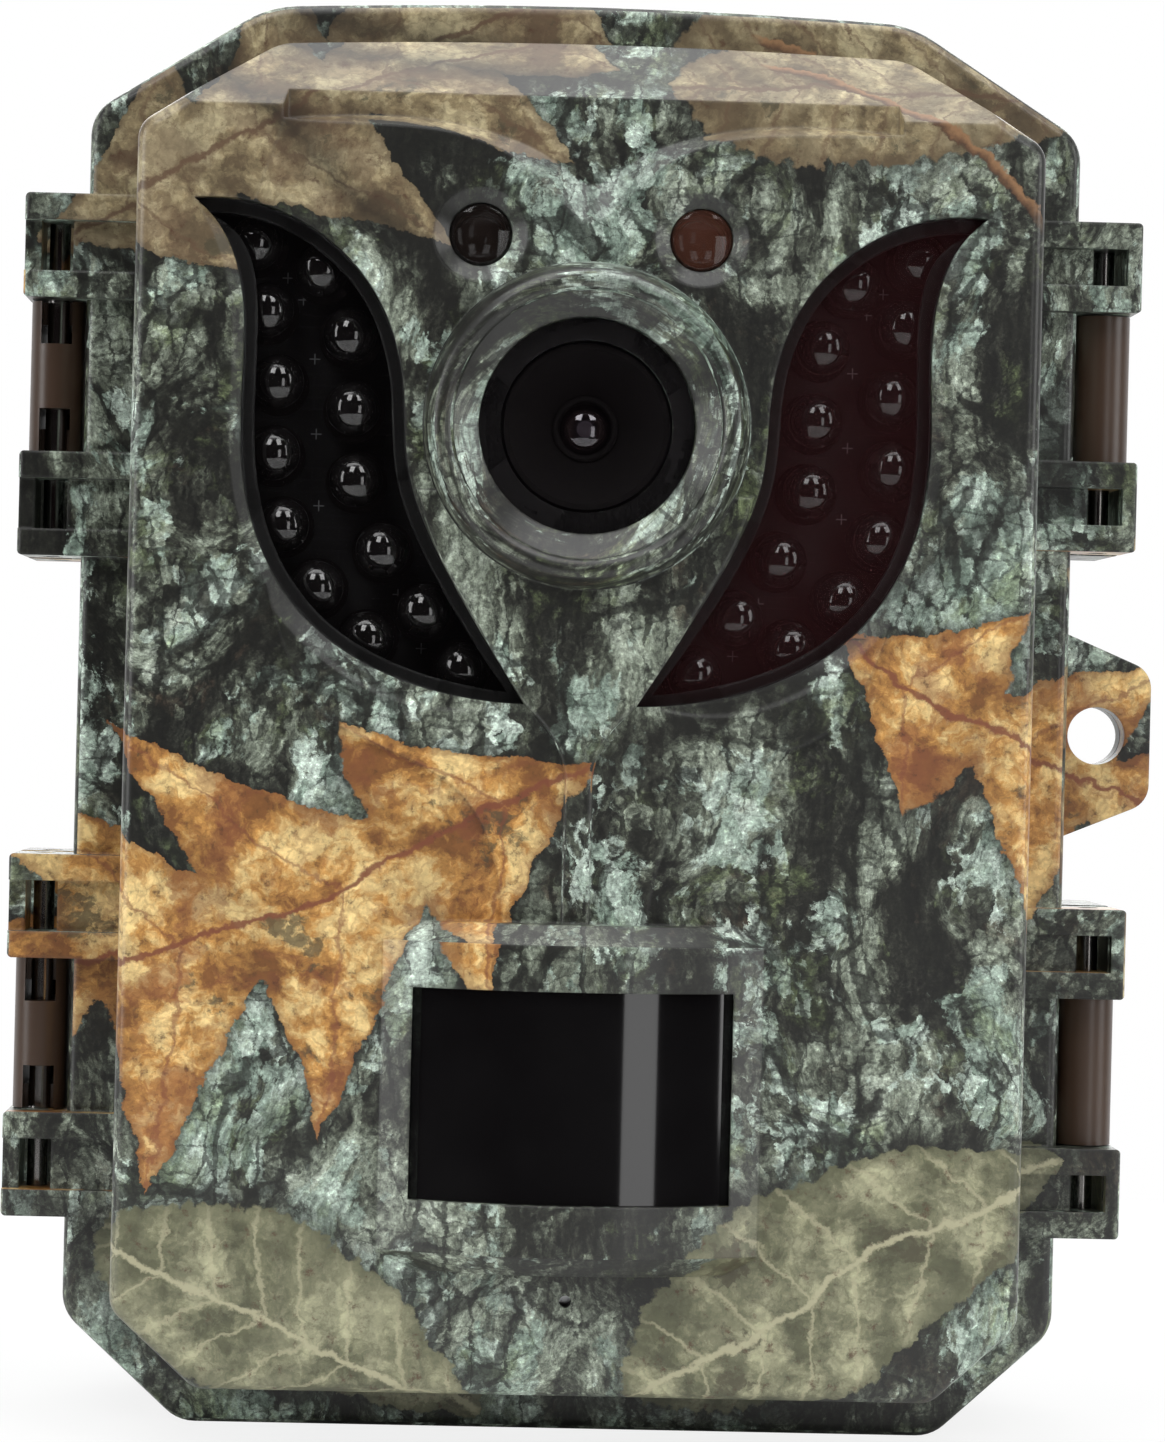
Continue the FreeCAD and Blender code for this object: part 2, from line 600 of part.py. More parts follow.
def buildOptics():
    glassBack = lensSeatY - 0.2
    keep("lens_window", rodY(0, lensZ, glassBack - lensWindowThickness, glassBack, lensWindowRadius))
    keep("lens_mask_ring", rodY(0, lensZ, glassBack, lensSeatY, lensWindowRadius)
         .cut(rodY(0, lensZ, glassBack - 1, lensSeatY + 1, lensBoreRadius)))
    front = lensSeatY + 0.3
    barrelBack = boardY - 4.6
    barrel = turned([(lensBarrelRadius - 0.5, front), (lensBarrelRadius, front),
                     (lensBarrelRadius, front + 6.7), (lensThreadRadius, front + 7.3),
                     (lensThreadRadius, barrelBack), (2.4, barrelBack), (2.4, front + 4.2)], lensZ)
    keep("lens_barrel", barrel)
    glass = Part.makeSphere(3.4, V(0, front + 4.6 + 2.6, lensZ)).common(
        rodY(0, lensZ, front, front + 6.6, 2.35))
    keep("lens_element", glass)

    housingFront = boardY - 9.0
    housing = box(-11, 11, housingFront, boardY, lensZ - 9, lensZ + 9)
    housing = housing.cut([rodY(0, lensZ, housingFront - 1, boardY - 3.6, lensThreadRadius + 0.05),
                           box(-9.4, 9.4, boardY - 3.6, boardY - 2.0, lensZ - 5.2, lensZ + 5.2),
                           box(-5, 5, boardY - 2.0, boardY + 1, lensZ - 4.2, lensZ + 4.2)])
    keep("ir_cut_housing", housing)
    carriage = box(-8.9, 3.3, boardY - 3.4, boardY - 2.2, lensZ - 5.0, lensZ + 5.0)
    carriage = carriage.cut(box(-7.6, -3.4, boardY - 4, boardY, lensZ - 3.2, lensZ + 3.2))
    keep("ir_cut_carriage", carriage)
    keep("image_sensor", box(-3.6, 3.6, boardY - 1.2, boardY, lensZ - 3.4, lensZ + 3.4))

    pane = prism(lampWire(-0.08, lampSeatY - lampWindowThickness), lampWindowThickness)
    keep("ir_window_right", pane)
    keep("ir_window_left", mirrorX(pane))
    board = lampBoard()
    keep("led_board_right", board)
    keep("led_board_left", mirrorX(board))
    lamps = [lamp(x, z, lampBoardY, lampHeight) for x, z in lampPlaces]
    keep("ir_leds_right", *lamps)
    keep("ir_leds_left", *[mirrorX(s) for s in lamps])
    screws = []
    for x, z in lampBosses:
        for s in (-1, 1):
            screws.append(screwY(s * x, z, lampBoardY + boardThickness, 5.0, 0.8, 1.7, 1.0))
    screws.append(screwY(0, sensorZ, lampBoardY + boardThickness, 5.0, 0.8, 1.7, 1.0))
    keep("front_board_screws", *screws)

    sensorBoard = box(-11.4, 11.4, lampBoardY, lampBoardY + boardThickness, sensorZ - 4, sensorZ + 4)
    sensorBoard = sensorBoard.cut(rodY(0, sensorZ, lampBoardY - 1, lampBoardY + 3, 1.05))
    keep("sensor_board", sensorBoard)
    keep("light_sensor", lamp(-sensorX, sensorZ, lampBoardY, 7.2))
    keep("status_led", lamp(sensorX, sensorZ, lampBoardY, 7.2))
    windowSeat = panelY + 2.2
    for name, s in (("light_sensor_window", -1), ("status_led_window", 1)):
        disc = rodY(s * sensorX, sensorZ, windowSeat - 1.3, windowSeat, sensorWindowRadius)
        crown = Part.makeSphere(9.0, V(s * sensorX, windowSeat - 1.3 - 0.45 + 9.0, sensorZ))
        crown = crown.common(rodY(s * sensorX, sensorZ, windowSeat - 3, windowSeat - 1.2, 2.75))
        keep(name, disc.fuse(crown).removeSplitter())


def buildMotionSensor():
    outer = pirCylinder(pirSheetOuter)
    inner = pirCylinder(pirSheetOuter - pirSheet)
    sheet = box(-pirHalfWidth - pirOverlap, pirHalfWidth + pirOverlap, panelY - 10, panelY + 4,
                pirZ - pirHalfHeight - pirOverlap, pirZ + pirHalfHeight + pirOverlap)
    keep("pir_window", sheet.common(outer).cut(inner))
    can = rodY(0, pirZ, boardY - 4.2, boardY, 4.1).fuse(rodY(0, pirZ, boardY - 0.6, boardY, 4.6))
    eye = box(-2.0, 2.0, boardY - 4.6, boardY - 4.0, pirZ - 1.5, pirZ + 1.5)
    keep("pir_sensor", can.cut(eye).removeSplitter())
    keep("pir_filter_glass", box(-1.95, 1.95, boardY - 4.3, boardY - 4.0, pirZ - 1.45, pirZ + 1.45))
    keep("microphone", rodY(0, micZ, innerWallY + 0.1, innerWallY + 3.0, 3.0))


# ------------------------------------------------------------ door: inner panel and controls
screenX = 0.0
screenZ = bodyHeight - 37.0
screenHalfX = 21.0
screenHalfZ = 16.0
padX = 0.0
padPitch = 11.0
padGap = 15.0
padZ = screenZ - screenHalfZ - padPitch - padGap
tactHalf = 3.0
buttonPlaces = {"button_up": (padX, padZ + padPitch), "button_down": (padX, padZ - padPitch),
                "button_left": (padX + padPitch, padZ), "button_right": (padX - padPitch, padZ),
                "button_ok": (padX, padZ), "button_menu": (padX + 22.0, padZ + 8.0)}
switchX = -23.0
switchZ = 52.0
switchThrow = 3.0
cardX = 20.0
socketLength = 27.5
socketGap = 3.0
cardProud = 4.5
cardZ0 = padZ - tactHalf - socketGap - socketLength - cardProud
speakerX = -22.0
speakerZ = 24.0


def buildInnerPanel():
    panel = bodySlab(rimWidth + 0.25, innerPanelY, innerPanelBackY)
    cuts = [box(screenX - screenHalfX, screenX + screenHalfX, innerPanelY - 1, innerPanelBackY + 1,
                screenZ - screenHalfZ, screenZ + screenHalfZ)]
    frame = 1.5
    cuts.append(box(screenX - screenHalfX - frame, screenX + screenHalfX + frame,
                    innerPanelBackY - 1.0, innerPanelBackY + 1,
                    screenZ - screenHalfZ - frame, screenZ + screenHalfZ + frame))
    for x, z in buttonPlaces.values():
        cuts.append(rodY(x, z, innerPanelY - 1, innerPanelBackY + 1, 3.4 + buttonGap))
    cuts.append(box(switchX - 1.8, switchX + 1.8, innerPanelY - 1, innerPanelBackY + 1,
                    switchZ - switchThrow - 3.0, switchZ + switchThrow + 3.0))
    cuts.append(box(cardX - 14.5, cardX + 14.5, innerPanelY - 1, innerPanelBackY + 1,
                    cardZ0 - 8.0, cardZ0 + cardProud))
    for i in (-1, 0, 1):
        for k in (-1, 0, 1):
            cuts.append(rodY(speakerX + 3.2 * i, speakerZ + 3.2 * k, innerPanelY - 1,
                             innerPanelBackY + 1, 0.8))
    for x, z in doorPosts:
        for s in (-1, 1):
            cuts.append(rodY(s * x, z, innerPanelY - 1, innerPanelBackY + 1, screwRadius + 0.15))
            cuts.append(rodY(s * x, z, innerPanelBackY - 1.2, innerPanelBackY + 1, 2.4))
    keep("inner_panel", panel.cut(cuts))
    screws = []
    for x, z in doorPosts:
        for s in (-1, 1):
            screws.append(screwY(s * x, z, innerPanelBackY - 1.2, 8.0, screwRadius, 2.2, 1.1))
    keep("inner_panel_screws", *screws)

    keep("screen_window", box(screenX - screenHalfX - 1.45, screenX + screenHalfX + 1.45,
                              innerPanelBackY - 1.0, innerPanelBackY - 0.1,
                              screenZ - screenHalfZ - 1.45, screenZ + screenHalfZ + 1.45))
    keep("lcd_module", box(screenX - 26, screenX + 26, innerPanelY - 2.8, innerPanelY - 0.0,
                           screenZ - 19.5, screenZ + 19.5))

    switches = []
    boardBackY = boardY + boardThickness
    stemY = boardBackY + 1.4
    for name, (x, z) in buttonPlaces.items():
        body = box(x - tactHalf, x + tactHalf, boardBackY, boardBackY + 1.4, z - tactHalf, z + tactHalf)
        switches.append(body)
        cap = rodY(x, z, innerPanelY + 0.2, innerPanelBackY + 0.3, 3.4)
        flange = rodY(x, z, innerPanelY - 1.2, innerPanelY - 0.2, 4.4)
        stem = rodY(x, z, stemY + buttonTravel + 0.1, innerPanelY + 0.3, 1.6)
        neck = rodY(x, z, innerPanelY - 0.3, innerPanelY + 0.3, 3.4)
        keep(name, cap.fuse([flange, stem, neck]).removeSplitter())
    keep("tact_switches", *switches)

    slide = box(switchX - 2.5, switchX + 2.5, boardBackY, innerPanelY - 1.6, switchZ - 8, switchZ + 8)
    groove = box(switchX - 1.3, switchX + 1.3, boardBackY + 0.6, innerPanelY, switchZ - 6.2,
                 switchZ + 6.2)
    keep("mode_switch_body", slide.cut(groove))
    knobStem = box(switchX - 1.1, switchX + 1.1, boardBackY + 0.8, innerPanelBackY - 0.6,
                   switchZ - 1.5, switchZ + 1.5)
    knobCap = box(switchX - 1.6, switchX + 1.6, innerPanelY - 0.4, innerPanelBackY + 0.3,
                  switchZ - 2.5, switchZ + 2.5)
    keep("mode_switch_knob", knobCap.fuse(knobStem).removeSplitter())

    keep("main_board", mainBoard())
    keep("main_board_screws", *[screwY(x, z, boardBackY, 4.0, 0.8, 1.7, 1.0)
                                for x, z in boardScrewPlaces])

    socketZ = cardZ0 + cardProud
    socket = box(cardX - 14, cardX + 14, boardBackY, boardBackY + 3.2, socketZ, socketZ + socketLength)
    slotGap = box(cardX - 12.1, cardX + 12.1, boardBackY + 0.5, boardBackY + 2.8, socketZ - 1.5,
                  socketZ + socketLength - 1.0)
    keep("sd_socket", socket.cut(slotGap))
    card = box(cardX - 12, cardX + 12, boardBackY + 0.6, boardBackY + 2.7, cardZ0, cardZ0 + 28)
    corner = Part.Face(Part.makePolygon([
        V(cardX + 12, boardBackY, cardZ0 + 28), V(cardX + 8, boardBackY, cardZ0 + 28),
        V(cardX + 12, boardBackY, cardZ0 + 24), V(cardX + 12, boardBackY, cardZ0 + 28)]))
    keep("sd_card", card.cut(corner.extrude(V(0, 4, 0))))
    usb = box(-3.9, 3.9, boardBackY, boardBackY + 4.0, 13.0, 22.0)
    keep("usb_socket", usb.cut(box(-3.4, 3.4, boardBackY + 0.5, boardBackY + 3.5, 12.0, 20.5)))
    keep("speaker", rodY(speakerX, speakerZ, innerPanelY - 3.4, innerPanelY - 0.1, 7.5))


boardHalfX = bodyHalfWidth - 9.0
boardTopZ = bodyHeight - 14.0
boardFootZ = 10.0
boardScrewPlaces = [(3.0 - boardHalfX, boardFootZ + 14.0), (3.0 - boardHalfX, midZ - 13.5),
                    (boardHalfX - 3.0, midZ - 11.5), (0.0, boardTopZ - 2.7)]


def mainBoard():
    x, low, high = boardHalfX, boardFootZ, boardTopZ
    points = [(8 - x, low), (x - 8, low), (x, low + 12), (x, high - 9), (x - 8, high), (8 - x, high),
              (-x, high - 9), (-x, low + 12)]
    board = prism(roundedWire(points, [2.0] * 8, boardY), boardThickness)
    cuts = []
    for x, z in doorPosts:
        for s in (-1, 1):
            cuts.append(rodY(s * x, z, boardY - 1, boardY + 3, postRadius + 0.5))
    for x, z in boardScrewPlaces:
        cuts.append(rodY(x, z, boardY - 1, boardY + 3, 1.0))
    return board.cut(cuts)


# ------------------------------------------------------------ hinge, latches, pins
def hingeLink(centre):
    """Moulded link: split barrels round the two pins, with open slots that show them."""
    z0, z1 = centre - linkHeight / 2, centre + linkHeight / 2
    ends = [rodZ(-pinX, y, z0, z1, linkRadius) for y in (doorPinY, rearPinY)]
    web = box(-pinX - linkRadius, -pinX + linkRadius, doorPinY, rearPinY, z0, z1)
    link = ends[0].fuse([ends[1], web]).removeSplitter()
    cuts = [rodZ(-pinX, y, z0 - 1, z1 + 1, pinRadius + runFit) for y in (doorPinY, rearPinY)]
    slotHalf = 1.45
    midHalf = 3.05
    gap = 1.9
    for s in (-1, 1):
        a, b = centre + s * midHalf, centre + s * (linkHeight / 2 + 1)
        cuts.append(box(-pinX - slotHalf, -pinX + slotHalf, doorPinY - 4, doorPinY, min(a, b), max(a, b)))
        c, d = centre + s * midHalf, centre + s * (midHalf + gap)
        cuts.append(box(-pinX - slotHalf, -pinX + slotHalf, doorPinY - 4, rearPinY + 4,
                        min(c, d), max(c, d)))
    return link.cut(cuts)


def latch(centre):
    """Snap latch: barrel on the door's pin, a lever along the side, a nose behind the keeper."""
    z0, z1 = centre - latchHeight / 2, centre + latchHeight / 2
    barrel = rodZ(pinX, doorPinY, z0, z1, latchRadius)
    outerX = pinX + latchRadius
    lever = box(outerX - latchPlate, outerX, doorPinY, doorPinY + latchTail, z0, z1)
    neck = box(pinX, outerX, doorPinY, doorPinY + latchRadius, z0, z1)
    nose = box(keeperTop + endPlay, outerX - latchPlate + 0.5, keeperY + keeperDepth + endPlay,
               keeperY + keeperDepth + endPlay + 1.6, z0 + 0.4, z1 - 0.4)
    body = barrel.fuse([lever, neck, nose]).removeSplitter()
    ridges = [box(outerX - 0.35, outerX + 1, doorPinY + latchTail - 1.6 - 1.5 * i,
                  doorPinY + latchTail - 0.9 - 1.5 * i, z0 - 1, z1 + 1) for i in range(3)]
    return body.cut(ridges + [rodZ(pinX, doorPinY, z0 - 1, z1 + 1, pinRadius + runFit)])


keeperY = rearPinY + 1.5
keeperTop = bodyHalfWidth + 2.6
latchCentres = (midZ - latchOffset, midZ + latchOffset)
hingeCentres = (midZ - hingeOffset, midZ + hingeOffset)


def buildHardware():
    keep("hinge_link_lower", hingeLink(hingeCentres[0]))
    keep("hinge_link_upper", hingeLink(hingeCentres[1]))
    keep("latch_lower", latch(latchCentres[0]))
    keep("latch_upper", latch(latchCentres[1]))
    hingePinHalf = linkHeight / 2 + hingeEar - 1.2
    latchPinHalf = latchHeight / 2 + latchEar - 1.2
    keep("door_hinge_pins", *[rodZ(-pinX, doorPinY, c - hingePinHalf, c + hingePinHalf, pinRadius)
                              for c in hingeCentres])
    keep("rear_hinge_pins", *[rodZ(-pinX, rearPinY, c - hingePinHalf, c + hingePinHalf, pinRadius)
                              for c in hingeCentres])
    keep("latch_pins", *[rodZ(pinX, doorPinY, c - latchPinHalf, c + latchPinHalf, pinRadius)
                         for c in latchCentres])


# ------------------------------------------------------------ rear shell
grooveIn = 1.3
grooveOut = 3.1
grooveDepth = 1.4
trayFrontY = rearFaceY + 1.2
trayBackY = trayFrontY + 2 * cellRadius + trayBase + 0.4
cellY = trayFrontY + cellRadius + 0.2
trayPostX = trayHalfX + 3.7
trayPosts = [(trayPostX, trayZ - 38.0), (trayPostX, trayZ + 38.0)]
trayLug = 3.0


def strapRibs():
    ribs = []
    for s in (-1, 1):
        x0 = s * strapX - strapRib / 2
        rib = box(x0, x0 + strapRib, backY - 1, backY + strapReach, midZ - 24, midZ + 24)
        rib = rib.makeFillet(2.0, [e for e in rib.Edges
                                   if abs(e.CenterOfMass.y - backY - strapReach) < 1e-6
                                   and abs(abs(e.CenterOfMass.z - midZ) - 24) < 1e-6])
        slot = box(x0 - 1, x0 + strapRib + 1, backY + 1.0, backY + 1.0 + strapSlotDepth,
                   midZ - strapSlotHeight / 2, midZ + strapSlotHeight / 2)
        teeth = []
        for i in range(-7, 8):
            z = midZ + 3.0 * i
            tooth = Part.Face(Part.makePolygon([
                V(x0 - 1, backY + strapReach + 0.1, z - 1.1), V(x0 - 1, backY + strapReach - 1.4, z),
                V(x0 - 1, backY + strapReach + 0.1, z + 1.1),
                V(x0 - 1, backY + strapReach + 0.1, z - 1.1)]))
            teeth.append(tooth.extrude(V(strapRib + 2, 0, 0)))
        ribs.append(rib.cut([slot] + teeth))
    return ribs


def rearHousing():
    shell = bodySlab(0, rearFaceY, backY)
    shell = shell.makeFillet(backRound, outerEdges(shell, backY))
    mouth = bodySlab(rimWidth, rearFaceY - 1, rearFaceY + 5)
    room = bodySlab(wall + 0.2, rearFaceY + 4.5, backY - wall)
    extras = [rearEar(-1, z0, z1) for z0, z1 in hingeSpans]
    extras += [rearEar(1, z0, z1) for z0, z1 in latchSpans]
    extras.append(prism(tabWire(rearFaceY), tabThickness))
    for z0, z1 in zip(latchSpans[0::2], latchSpans[1::2]):
        extras.append(box(bodyHalfWidth - 1, keeperTop, keeperY, keeperY + keeperDepth, z0[1], z1[0]))
    extras += strapRibs()
    shell = shell.fuse(extras).cut([mouth, room])

    # bosses inside
    bosses = [box(-8, 8, -8, 8, 0.5, tripodDepth + insertCap)]
    for x, z in trayPosts:
        for s in (-1, 1):
            bosses.append(rodY(s * x, z, trayBackY, backY - 1, 3.0))
    bosses.append(box(dcX - 7, dcX + 7, dcY - 6.5, dcY + 6.5, 0.5, 5.0))
    shell = shell.fuse(bosses)

    groove = bodySlab(grooveIn, rearFaceY - 1, rearFaceY + grooveDepth)
    groove = groove.cut(bodySlab(grooveOut, rearFaceY - 2, rearFaceY + grooveDepth + 1))
    cuts = [groove, rodZ(0, 0, -1, tripodDepth, insertRadius),
            rodZ(dcX, dcY, -1, 6, dcHoleRadius),
            box(dcX - 5.6, dcX + 8.5, dcY - 5.2, dcY + 5.2, -1, 2.2),
            rodY(tabHoleX, tabZ, rearFaceY - 1, rearFaceY + 5, tabHoleRadius)]
    for x, z in trayPosts:
        for s in (-1, 1):
            cuts.append(rodY(s * x, z, trayBackY - 1, trayBackY + 7, screwRadius + 0.05))
    for z0, z1 in hingeSpans:
        cuts.append(rodZ(-pinX, rearPinY, z0 - 0.1, z1 + 0.1, pinRadius + pinFit))
    return shell.cut(cuts)


def batteryTray():
    tray = box(-trayHalfX, trayHalfX, trayFrontY, trayBackY, trayZ - trayHalfZ, trayZ + trayHalfZ)
    lugs = [box(s * x - 4 - s * 2, s * x + 4 - s * 2, trayBackY - trayLug, trayBackY, z - 4, z + 4)
            for x, z in trayPosts for s in (-1, 1)]
    tray = tray.fuse(lugs).removeSplitter()
    cuts = []
    for row in (-1, 1):
        low = trayZ + trayWall / 2 if row > 0 else trayZ - trayWall / 2 - bayLength
        for column in range(4):
            x = (column - 1.5) * bayPitch
            cuts.append(rodZ(x, cellY, low, low + bayLength, cellRadius + 0.2))
            cuts.append(box(x - cellRadius - 0.2, x + cellRadius + 0.2, trayFrontY - 1, cellY, low,
                            low + bayLength))
    for x, z in trayPosts:
        for s in (-1, 1):
            cuts.append(rodY(s * x, z, trayBackY - 4, trayBackY + 1, screwRadius + 0.15))
    return tray.cut(cuts)


def cellSpring(x, z, up):
    """Pressed contact spring: three coils joined by short risers, seated at z."""
    wire = springWire / 2
    room = bayLength - 2 * contactThickness - cellLength - cellNub - 0.1
    pitch = (room - springWire) / 2
    rings = [Part.makeTorus(springRadius, wire, V(0, 0, wire + i * pitch)) for i in range(3)]
    risers = [rodZ(springRadius * (1 - 2 * i), 0, wire + i * pitch, wire + (i + 1) * pitch, wire * 0.9)
              for i in range(2)]
    coil = rings[0].fuse(rings[1:] + risers)
    if not up:
        coil = coil.mirror(V(0, 0, 0), V(0, 0, 1))
    coil.translate(V(x, cellY, z + (0.05 if up else -0.05)))
    return coil


def buildPower():
    keep("battery_tray", batteryTray())
    cells, springs, plates = [], [], []
    for row in (-1, 1):
        low = trayZ + trayWall / 2 if row > 0 else trayZ - trayWall / 2 - bayLength
        high = low + bayLength
        for column in range(4):
            x = (column - 1.5) * bayPitch
            up = column % 2 == 0
            plates.append(box(x - 5, x + 5, cellY - 5, cellY + 4, low, low + contactThickness))
            plates.append(box(x - 5, x + 5, cellY - 5, cellY + 4, high - contactThickness, high))
            if up:
                top = high - contactThickness
                cells.append(rodZ(x, cellY, top - cellNub - cellLength, top - cellNub, cellRadius)
                             .fuse(rodZ(x, cellY, top - cellNub - 0.2, top, cellNubRadius)))
                springs.append(cellSpring(x, low + contactThickness, True))
            else:
                base = low + contactThickness
                cells.append(rodZ(x, cellY, base + cellNub, base + cellNub + cellLength, cellRadius)
                             .fuse(rodZ(x, cellY, base, base + cellNub + 0.2, cellNubRadius)))
                springs.append(cellSpring(x, high - contactThickness, False))
    keep("aa_cells", *cells)
    keep("battery_springs", *springs)
    keep("battery_contacts", *plates)
    screws = []
    for x, z in trayPosts:
        for s in (-1, 1):
            screws.append(screwY(s * x, z, 0, 8.0, screwRadius, 2.2, 1.1))
            screws[-1].rotate(V(s * x, 0, z), V(0, 0, 1), 180)
            screws[-1].translate(V(0, trayBackY - trayLug, 0))
    keep("battery_tray_screws", *screws)
    insert = rodZ(0, 0, 0, tripodDepth, insertRadius).cut(rodZ(0, 0, -1, tripodDepth - 1, tripodRadius))
    keep("tripod_insert", insert)
    jackTop = trayFootZ - 0.45
    jack = box(dcX - 5, dcX + 5, dcY - 5, dcY + 5, 5.0, jackTop)
    jack = jack.cut(rodZ(dcX, dcY, 4, jackTop - 1.5, 3.2)).fuse(rodZ(dcX, dcY, 6, jackTop - 0.5, 0.9))
    keep("dc_socket", jack.removeSplitter())
    flap = box(dcX - 5.4, flapHingeX, dcY - 5.0, dcY + 5.0, flapZ - flapHalf, flapZ + flapHalf)
    flap = flap.makeFillet(1.5, [e for e in flap.Edges if abs(e.CenterOfMass.z - flapZ) < 1e-6
                                 and e.CenterOfMass.x < dcX])
    bead = Part.makeCylinder(flapHalf, 10.0, V(flapHingeX, dcY - 5.0, flapZ), V(0, 1, 0))
    plug = rodZ(dcX, dcY, flapZ, 4.0, 3.1)
    keep("dc_cover", flap.fuse([bead, plug]).removeSplitter())


def gasket():
    ring = bodySlab(grooveIn + 0.05, rearFaceY - 0.2, rearFaceY + grooveDepth)
    return ring.cut(bodySlab(grooveOut - 0.05, rearFaceY - 1, rearFaceY + grooveDepth + 1))


def main():
    keep("front_cover", frontCover())
    buildOptics()
    buildMotionSensor()
    buildInnerPanel()
    buildHardware()
    keep("rear_housing", rearHousing())
    keep("door_seal", gasket())
    buildPower()
    os.makedirs("parts", exist_ok=True)
    for name, shape in built.items():
        shape.exportStep("parts/" + name + ".step")
        print(name, len(shape.Solids), round(shape.Volume, 1), shape.isValid())


main()
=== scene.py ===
import math
from functools import partial
import bmesh
import bpy
from mathutils import Matrix, Vector


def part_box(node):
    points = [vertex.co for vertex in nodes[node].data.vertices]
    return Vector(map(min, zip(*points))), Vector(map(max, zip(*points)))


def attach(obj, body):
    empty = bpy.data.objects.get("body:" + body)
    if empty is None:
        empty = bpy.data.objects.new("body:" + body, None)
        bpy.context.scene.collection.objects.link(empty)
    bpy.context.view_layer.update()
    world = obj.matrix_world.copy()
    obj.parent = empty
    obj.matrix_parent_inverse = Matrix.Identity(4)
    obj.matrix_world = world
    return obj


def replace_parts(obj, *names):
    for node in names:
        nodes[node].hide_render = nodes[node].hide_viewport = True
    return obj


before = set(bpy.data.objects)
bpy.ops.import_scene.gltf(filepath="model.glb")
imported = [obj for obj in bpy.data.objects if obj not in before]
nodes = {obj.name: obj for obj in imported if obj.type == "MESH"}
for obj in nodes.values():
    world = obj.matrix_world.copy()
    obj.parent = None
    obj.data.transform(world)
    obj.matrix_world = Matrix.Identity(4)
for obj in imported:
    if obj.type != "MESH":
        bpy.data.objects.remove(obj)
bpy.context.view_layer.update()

mm = 0.001


# nearly square to the front, a little from the left, leaning in the frame
cameraValues = {"place": (-0.0150, -0.501, 0.0672), "target": (0.00086, -0.024, 0.0672),
                "lean": 1.43, "lens": 125.7, "sensor": 36}


def makeCamera(values):
    data = bpy.data.cameras.new("camera")
    data.lens = values["lens"]
    data.sensor_width = values["sensor"]
    data.clip_start = 0.01
    camera = bpy.data.objects.new("camera", data)
    place = Vector(values["place"])
    ahead = (Vector(values["target"]) - place).normalized()
    lean = math.radians(values["lean"])
    across = ahead.cross(Vector((-math.sin(lean), 0, math.cos(lean)))).normalized()
    turn = Matrix((across, across.cross(ahead), -ahead)).transposed()
    camera.matrix_world = Matrix.Translation(place) @ turn.to_4x4()
    bpy.context.scene.collection.objects.link(camera)
    bpy.context.scene.camera = camera


makeCamera(cameraValues)
print("camera placed")


def linear(code):
    parts = [int(code[i:i + 2], 16) / 255 for i in (1, 3, 5)]
    parts = [c / 12.92 if c <= 0.04045 else ((c + 0.055) / 1.055) ** 2.4 for c in parts]
    return (*parts, 1.0)


def addNode(tree, kind, *values, out=0, named=None, stops=None, **settings):
    # one node with its settings, values or links, and a ramp's stops; gives the output asked for
    node = tree.nodes.new("ShaderNode" + kind)
    for key, value in settings.items():
        setattr(node, key, value)
    for key, value in [*enumerate(values), *(named or {}).items()]:
        if isinstance(value, bpy.types.NodeSocket):
            tree.links.new(value, node.inputs[key])
        elif value is not None:
            node.inputs[key].default_value = linear(value) if isinstance(value, str) else value
    for i, (place, tone) in enumerate(stops or []):
        points = node.color_ramp.elements
        point = points[i] if i < 2 else points.new(place)
        point.position = place
        point.color = linear(tone) if isinstance(tone, str) else (tone, tone, tone, 1)
    return node.outputs[out]


def newMaterial(name, **shader):
    material = bpy.data.materials.new(name)
    material.use_nodes = True
    tree = material.node_tree
    surface = tree.nodes["Principled BSDF"].inputs
    for key, value in shader.items():
        value = linear(value) if isinstance(value, str) else value
        surface[key.replace("_", " ")].default_value = value
    # places count in mm, so a pattern of scale 0.5 repeats about every 2 mm
    place = addNode(tree, "TexCoord", out="Object")
    place = addNode(tree, "VectorMath", place, operation="SCALE", named={"Scale": 1000.0})
    return material, partial(addNode, tree), surface, place


def paint(material, *names):
    for name in names:
        slots = nodes[name].data.materials
        slots.clear()
        slots.append(material)


# woodland print: bark with lichen and moss, fallen oak and beech leaves, one twig
# base and turn place a leaf on the unrolled film, lengths in mm
oakTan = {"dark": "#5b4d38", "middle": "#8b7c5c", "pale": "#b3a682", "vein": "#5c4634"}
oakOchre = {"dark": "#7a4f28", "middle": "#b88746", "pale": "#dfc284", "vein": "#74402c"}
beechPale = {"dark": "#55563f", "middle": "#7b7b60", "pale": "#a09f80", "vein": "#a8a486"}
leafValues = [
    {"base": (-50, 112), "turn": 24, "length": 56, "half": 20, "lobes": 4, "bend": 0.10, **oakTan},
    {"base": (47, 128), "turn": 186, "length": 40, "half": 9, "lobes": 0, "bend": -0.1, **oakTan},
    {"base": (46, 27), "turn": 202, "length": 46, "half": 10, "lobes": 0, "bend": 0.12,
     **beechPale},
    {"base": (-8, 3), "turn": 150, "length": 38, "half": 9, "lobes": 0, "bend": 0.1, **beechPale},
    {"base": (0, 62), "turn": 208, "length": 62, "half": 23, "lobes": 4, "bend": -0.12, **oakOchre},
    {"base": (24, 76), "turn": 328, "length": 42, "half": 15, "lobes": 3, "bend": 0.1, **oakOchre},
    {"base": (78, 96), "turn": 260, "length": 58, "half": 20, "lobes": 4, "bend": 0.1, **oakTan},
    {"base": (-96, 66), "turn": 80, "length": 60, "half": 21, "lobes": 4, "bend": -0.1, **oakOchre},
]
